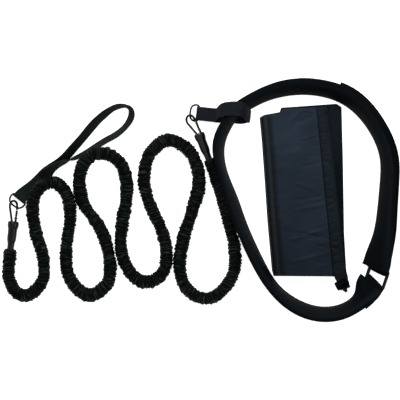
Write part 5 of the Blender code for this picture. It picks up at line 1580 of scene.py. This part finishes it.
def makePouch():
    clearance = pouch["clearance"]
    sheetTop = clearance + pouch["sheet"]
    base = sheetTop + clearance
    hemTop, hemBottom = Vector(pouch["hemTop"]), Vector(pouch["hemBottom"])
    run = (hemBottom - hemTop).normalized()
    across = Vector((-run.y, run.x))
    frontWidth, frontLength = pouch["frontCloth"][2:]
    least, further = pouch["puckerReach"]

    def frontSpot(a, b):
        right = hemTop.lerp(hemBottom, b) - across * (pouch["hemWidth"] / 2 - 0.0005)
        return betweenSides(a, b, alongLine(frontSides["left"], b), right, frontSides["top"])

    def frontHeight(a, b):
        x, y = frontSpot(a, b)
        fromFold = a * frontWidth
        fold = roundedOff(fromFold / pouch["foldRadius"])
        fall = 1 - pouch["fall"] * eased(a)
        edge = min(b, 1 - b) * frontLength
        lip = roundedOff(edge / pouch["lipRadius"])
        height = base + pouch["roll"] * fall * (0.35 + 0.65 * fold) * (0.5 + 0.5 * lip)
        soft = 0.0011 * wrinkle(x, y, 0.05, 1.3) + 0.0006 * wrinkle(x * 0.7, y * 2.2, 0.022, 5.7)
        folds = sum(crease(x, y, *line) for line in pouch["creases"])
        for where, size in hemPuckers:
            into = least + further * size * abs(math.sin(where * 23))
            start = hemTop.lerp(hemBottom, where) - across * pouch["hemWidth"] / 2
            finish = start + Vector((-into, pouch["puckerSlant"] * math.sin(where * 31)))
            high = pouch["puckerHeight"] * size * math.copysign(1, math.sin(where * 57))
            folds += crease(x, y, start, finish, pouch["puckerWidth"], high)
        ridge = crease(x, y, *pouch["edgeRidge"])
        return height + (soft + folds) * min(1, fromFold / 0.012) * min(1, edge / 0.006) + ridge

    mesh = clothSlab("pouchFront", frontSpot, frontHeight, base, *pouch["frontCloth"])
    front = addPiece("pouchFront", mesh, "belt", finishes["navy"], ["pouch_front"])

    def backSpot(a, b):
        left, right = alongLine(backSides["left"], b), alongLine(backSides["right"], b)
        return betweenSides(a, b, left, right, backSides["top"])

    def backHeight(a, b):
        x, y = backSpot(a, b)
        rise = eased((a - 0.8) / 0.1) * pouch["backRise"] * (0.5 + 0.5 * wrinkle(x, y, 0.03, 8.1))
        return sheetTop + rise * eased((1 - a) / 0.05) * 0.8 - 0.0001

    mesh = clothSlab("pouchBack", backSpot, backHeight, clearance, *pouch["backCloth"])
    back = addPiece("pouchBack", mesh, "belt", finishes["shadedNavyBack"], ["pouch_back"])

    length = (hemBottom - hemTop).length

    def hemSpot(a, b):
        middle = hemTop.lerp(hemBottom, b)
        wobble = pouch["hemWobble"] * noise.noise((b * 24, 2.0 if a < 0.5 else 7.0, 0.3))
        spot = middle + across * ((a - 0.5) * pouch["hemWidth"] + wobble * abs(2 * a - 1))
        return spot.x, spot.y

    def hemHeight(a, b):
        side = 2 * a - 1
        dome = (1 - abs(side) ** 2.4) ** 0.7 if abs(side) < 1 else 0.0
        tuck = 0.0
        for where, size in hemPuckers:
            apart = (b - where) * length
            slanted = apart - side * pouch["tuckSlant"] * math.sin(where * 40)
            near = math.exp(-((slanted / pouch["tuckWidth"]) ** 2))
            tuck += size * near * (0.55 + 0.45 * abs(side) ** 1.5)
        soft = 0.001 * noise.noise((b * 34, a * 2, 1.7)) + 0.0006 * noise.noise((b * 90, a * 3, 6.1))
        end = min(1, min(b, 1 - b) * length / 0.002)
        height = base + 0.0012 + (pouch["hemThickness"] - 0.0018) * dome * (0.5 + 0.5 * end)
        return height - pouch["tuckDepth"] * min(tuck, 1.3) * dome ** 0.3 + soft * dome

    mesh = clothSlab("pouchHem", hemSpot, hemHeight, base, *pouch["hemCells"], pouch["hemWidth"], length)
    hem = addPiece("pouchHem", mesh, "belt", finishes["navyHem"], ["pouch_hem"])
    corner = gatheredEnd(base)
    seams = []
    for a in pouch["hemSeams"]:
        shares = np.linspace(0.006, 0.994, 300)
        seams.append([place(*hemSpot(a, b), hemHeight(a, b) + 0.0002) for b in shares])
    stitchRows("hemStitching", seams, pitch=0.003, thread=0.00035)
    print("pouch made")


makePouch()


# Cord loops, drawcord and bindings

smallSoftParts = {
    "leftCordLoop": ("left_cord_loop", "cordBraid", "ruched_nylon", 2, 0.0002),
    "rightCordLoop": ("right_cord_loop", "cordBraid", "ruched_nylon", 2, 0.0002),
    "drawcordKnot": ("drawcord_knot", "cordBraid", "ruched_nylon", 3, 0.0007),
    "upperEndBinding": ("upper_end_binding", "padBack", "webbing", 3, 0.0003),
    "lowerEndBinding": ("lower_end_binding", "padBack", "webbing", 3, 0.0003),
}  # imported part, finish, slot, times subdivided and unevenness


def makeSmallSoftParts():
    for name, (node, finishName, slot, times, uneven) in smallSoftParts.items():
        mesh = cadNodes[node].data.copy()
        mesh.name = name
        work = bmesh.new()
        work.from_mesh(mesh)
        bmesh.ops.remove_doubles(work, verts=work.verts, dist=0.00002)
        bmesh.ops.dissolve_limit(work, angle_limit=0.02, verts=work.verts, edges=work.edges)
        for _ in range(times):
            bmesh.ops.subdivide_edges(work, edges=work.edges, cuts=1, use_grid_fill=True, smooth=0.3)
        bmesh.ops.triangulate(work, faces=work.faces)
        work.normal_update()
        for vertex in work.verts:
            spot = vertex.co
            bump = noise.noise(spot * 380) + 0.5 * noise.noise(spot * 900)
            vertex.co = spot + vertex.normal * uneven * bump
        bmesh.ops.recalc_face_normals(work, faces=work.faces)
        work.to_mesh(mesh)
        work.free()
        mesh.shade_smooth()
        addPiece(name, mesh, "belt", finishes[finishName], [node])
    print("small soft parts made")


drawcord = {
    "lift": 0.0016,
    "spacing": 0.0075,
    "firstStop": 0.004,
    "lastStop": 0.002,
    "besideStart": 0.03,
    "apart": 0.0031,
    "beforeLock": (0.0096, 0.0002),
    "knotAt": 0.0123,
}  # the second strand lies beside the first one's last stretch


def makeDrawcord():
    # two strands out of the gathered hem, through the lock to the knot
    base = 2 * pouch["clearance"] + pouch["sheet"]
    hemTop, hemBottom = Vector(pouch["hemTop"]), Vector(pouch["hemBottom"])
    run = (hemBottom - hemTop).normalized()
    hemLength = (hemBottom - hemTop).length
    through = level(lockPlace["heading"] - 90)
    sideways = Vector((through.y, -through.x, 0))
    lock = place(*lockPlace["middle"], lockPlace["height"])
    before, rise = drawcord["beforeLock"]
    strands = []
    for name, first, aside, count, finishName, replaced in (
        ("pouchDrawcord", drawcord["firstStop"], 0.0, 260, "cordBraid", ["drawcord"]),
        ("drawcordEnd", hemLength - drawcord["besideStart"], drawcord["apart"], 60, "fleckedBraid", ()),
    ):
        stops = np.arange(first, hemLength - drawcord["lastStop"], drawcord["spacing"])
        line = [place(*(hemTop + run * stop), base + drawcord["lift"]) for stop in stops]
        line += [lock - through * before + upwards * rise, lock + through * drawcord["knotAt"]]
        at, length = smoothThrough([tuple(point + sideways * aside) for point in line])
        points = [Vector(at(distance)) for distance in np.linspace(0, length, count)]
        radii = [0.0013 + 0.00008 * math.sin(i * 2.4) for i in range(count)]
        mesh = roundSkin(name, points, radii, 14)
        strand = addPiece(name, mesh, "belt", finishes[finishName], replaced)
        strands.append((strand, points))
    strand, points = strands[0]
    middle = hemTop + run * 0.012
    across = Vector((-run.y, run.x, 0))
    spot = place(*middle, base + pouch["hemThickness"] + 0.0002) + across * pouch["hemWidth"] * 0.3
    lines = boxLines(spot, Vector((run.x, run.y, 0)), across, upwards, 0.006, 0.003)
    stitchRows("hemBartack", lines, ["hem_bartack"], pitch=0.0014, thread=0.0003)
    print("drawcord made:", round(lineLength(points), 3), "m")


makeSmallSoftParts()
makeDrawcord()


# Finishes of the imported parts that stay

keptParts = {
    "steel": ["left_hook_frame", "right_hook_frame", "left_hook_gate", "right_hook_gate"],
    "bright": [
        "left_gate_pin", "right_gate_pin", "left_gate_spring", "right_gate_spring", "left_crimp",
        "right_crimp",
    ],
    "lockPlastic": ["cord_lock_barrel", "cord_lock_button"],
}
for finishName, names in keptParts.items():
    for nodeName in names:
        shown = cadNodes[nodeName]
        for slot in shown.material_slots:
            slot.material = finishes[finishName]
        if not shown.material_slots:
            shown.data.materials.append(finishes[finishName])
print("packed parts finished")


lockSpring = {"wire": 0.0006, "turns": 4, "radius": 0.0052, "steps": 24}


def makeLockSpring():
    # a coil between the imported spring's ends, fixed at its length with the button not pressed; the real one
    # shortens as the button is pressed
    axis = level(lockPlace["heading"])
    through = level(lockPlace["heading"] - 90)
    lock = place(*lockPlace["middle"], lockPlace["height"])
    wire, steps = lockSpring["wire"] / 2, lockSpring["steps"]
    node = cadNodes["cord_lock_spring"]
    spans = [(node.matrix_world @ vertex.co - lock).dot(axis) for vertex in node.data.vertices]
    first, last = min(spans) + wire, max(spans) - wire
    count = lockSpring["turns"] * steps
    points = []
    for i in range(count + 1):
        angle = 2 * math.pi * i / steps
        offset = (through * math.cos(angle) + axis.cross(through) * math.sin(angle)) * lockSpring["radius"]
        points.append(lock + axis * (first + (last - first) * i / count) + offset)
    mesh = roundSkin("lockSpring", points, wire, 10)
    mesh.materials.append(finishes["bright"])
    piece = bpy.data.objects.new("lockSpring", mesh)
    bpy.context.scene.collection.objects.link(piece)
    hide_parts("cord_lock_spring")
    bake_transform(piece)
    print("lock spring made")


makeLockSpring()


print("all pieces made")
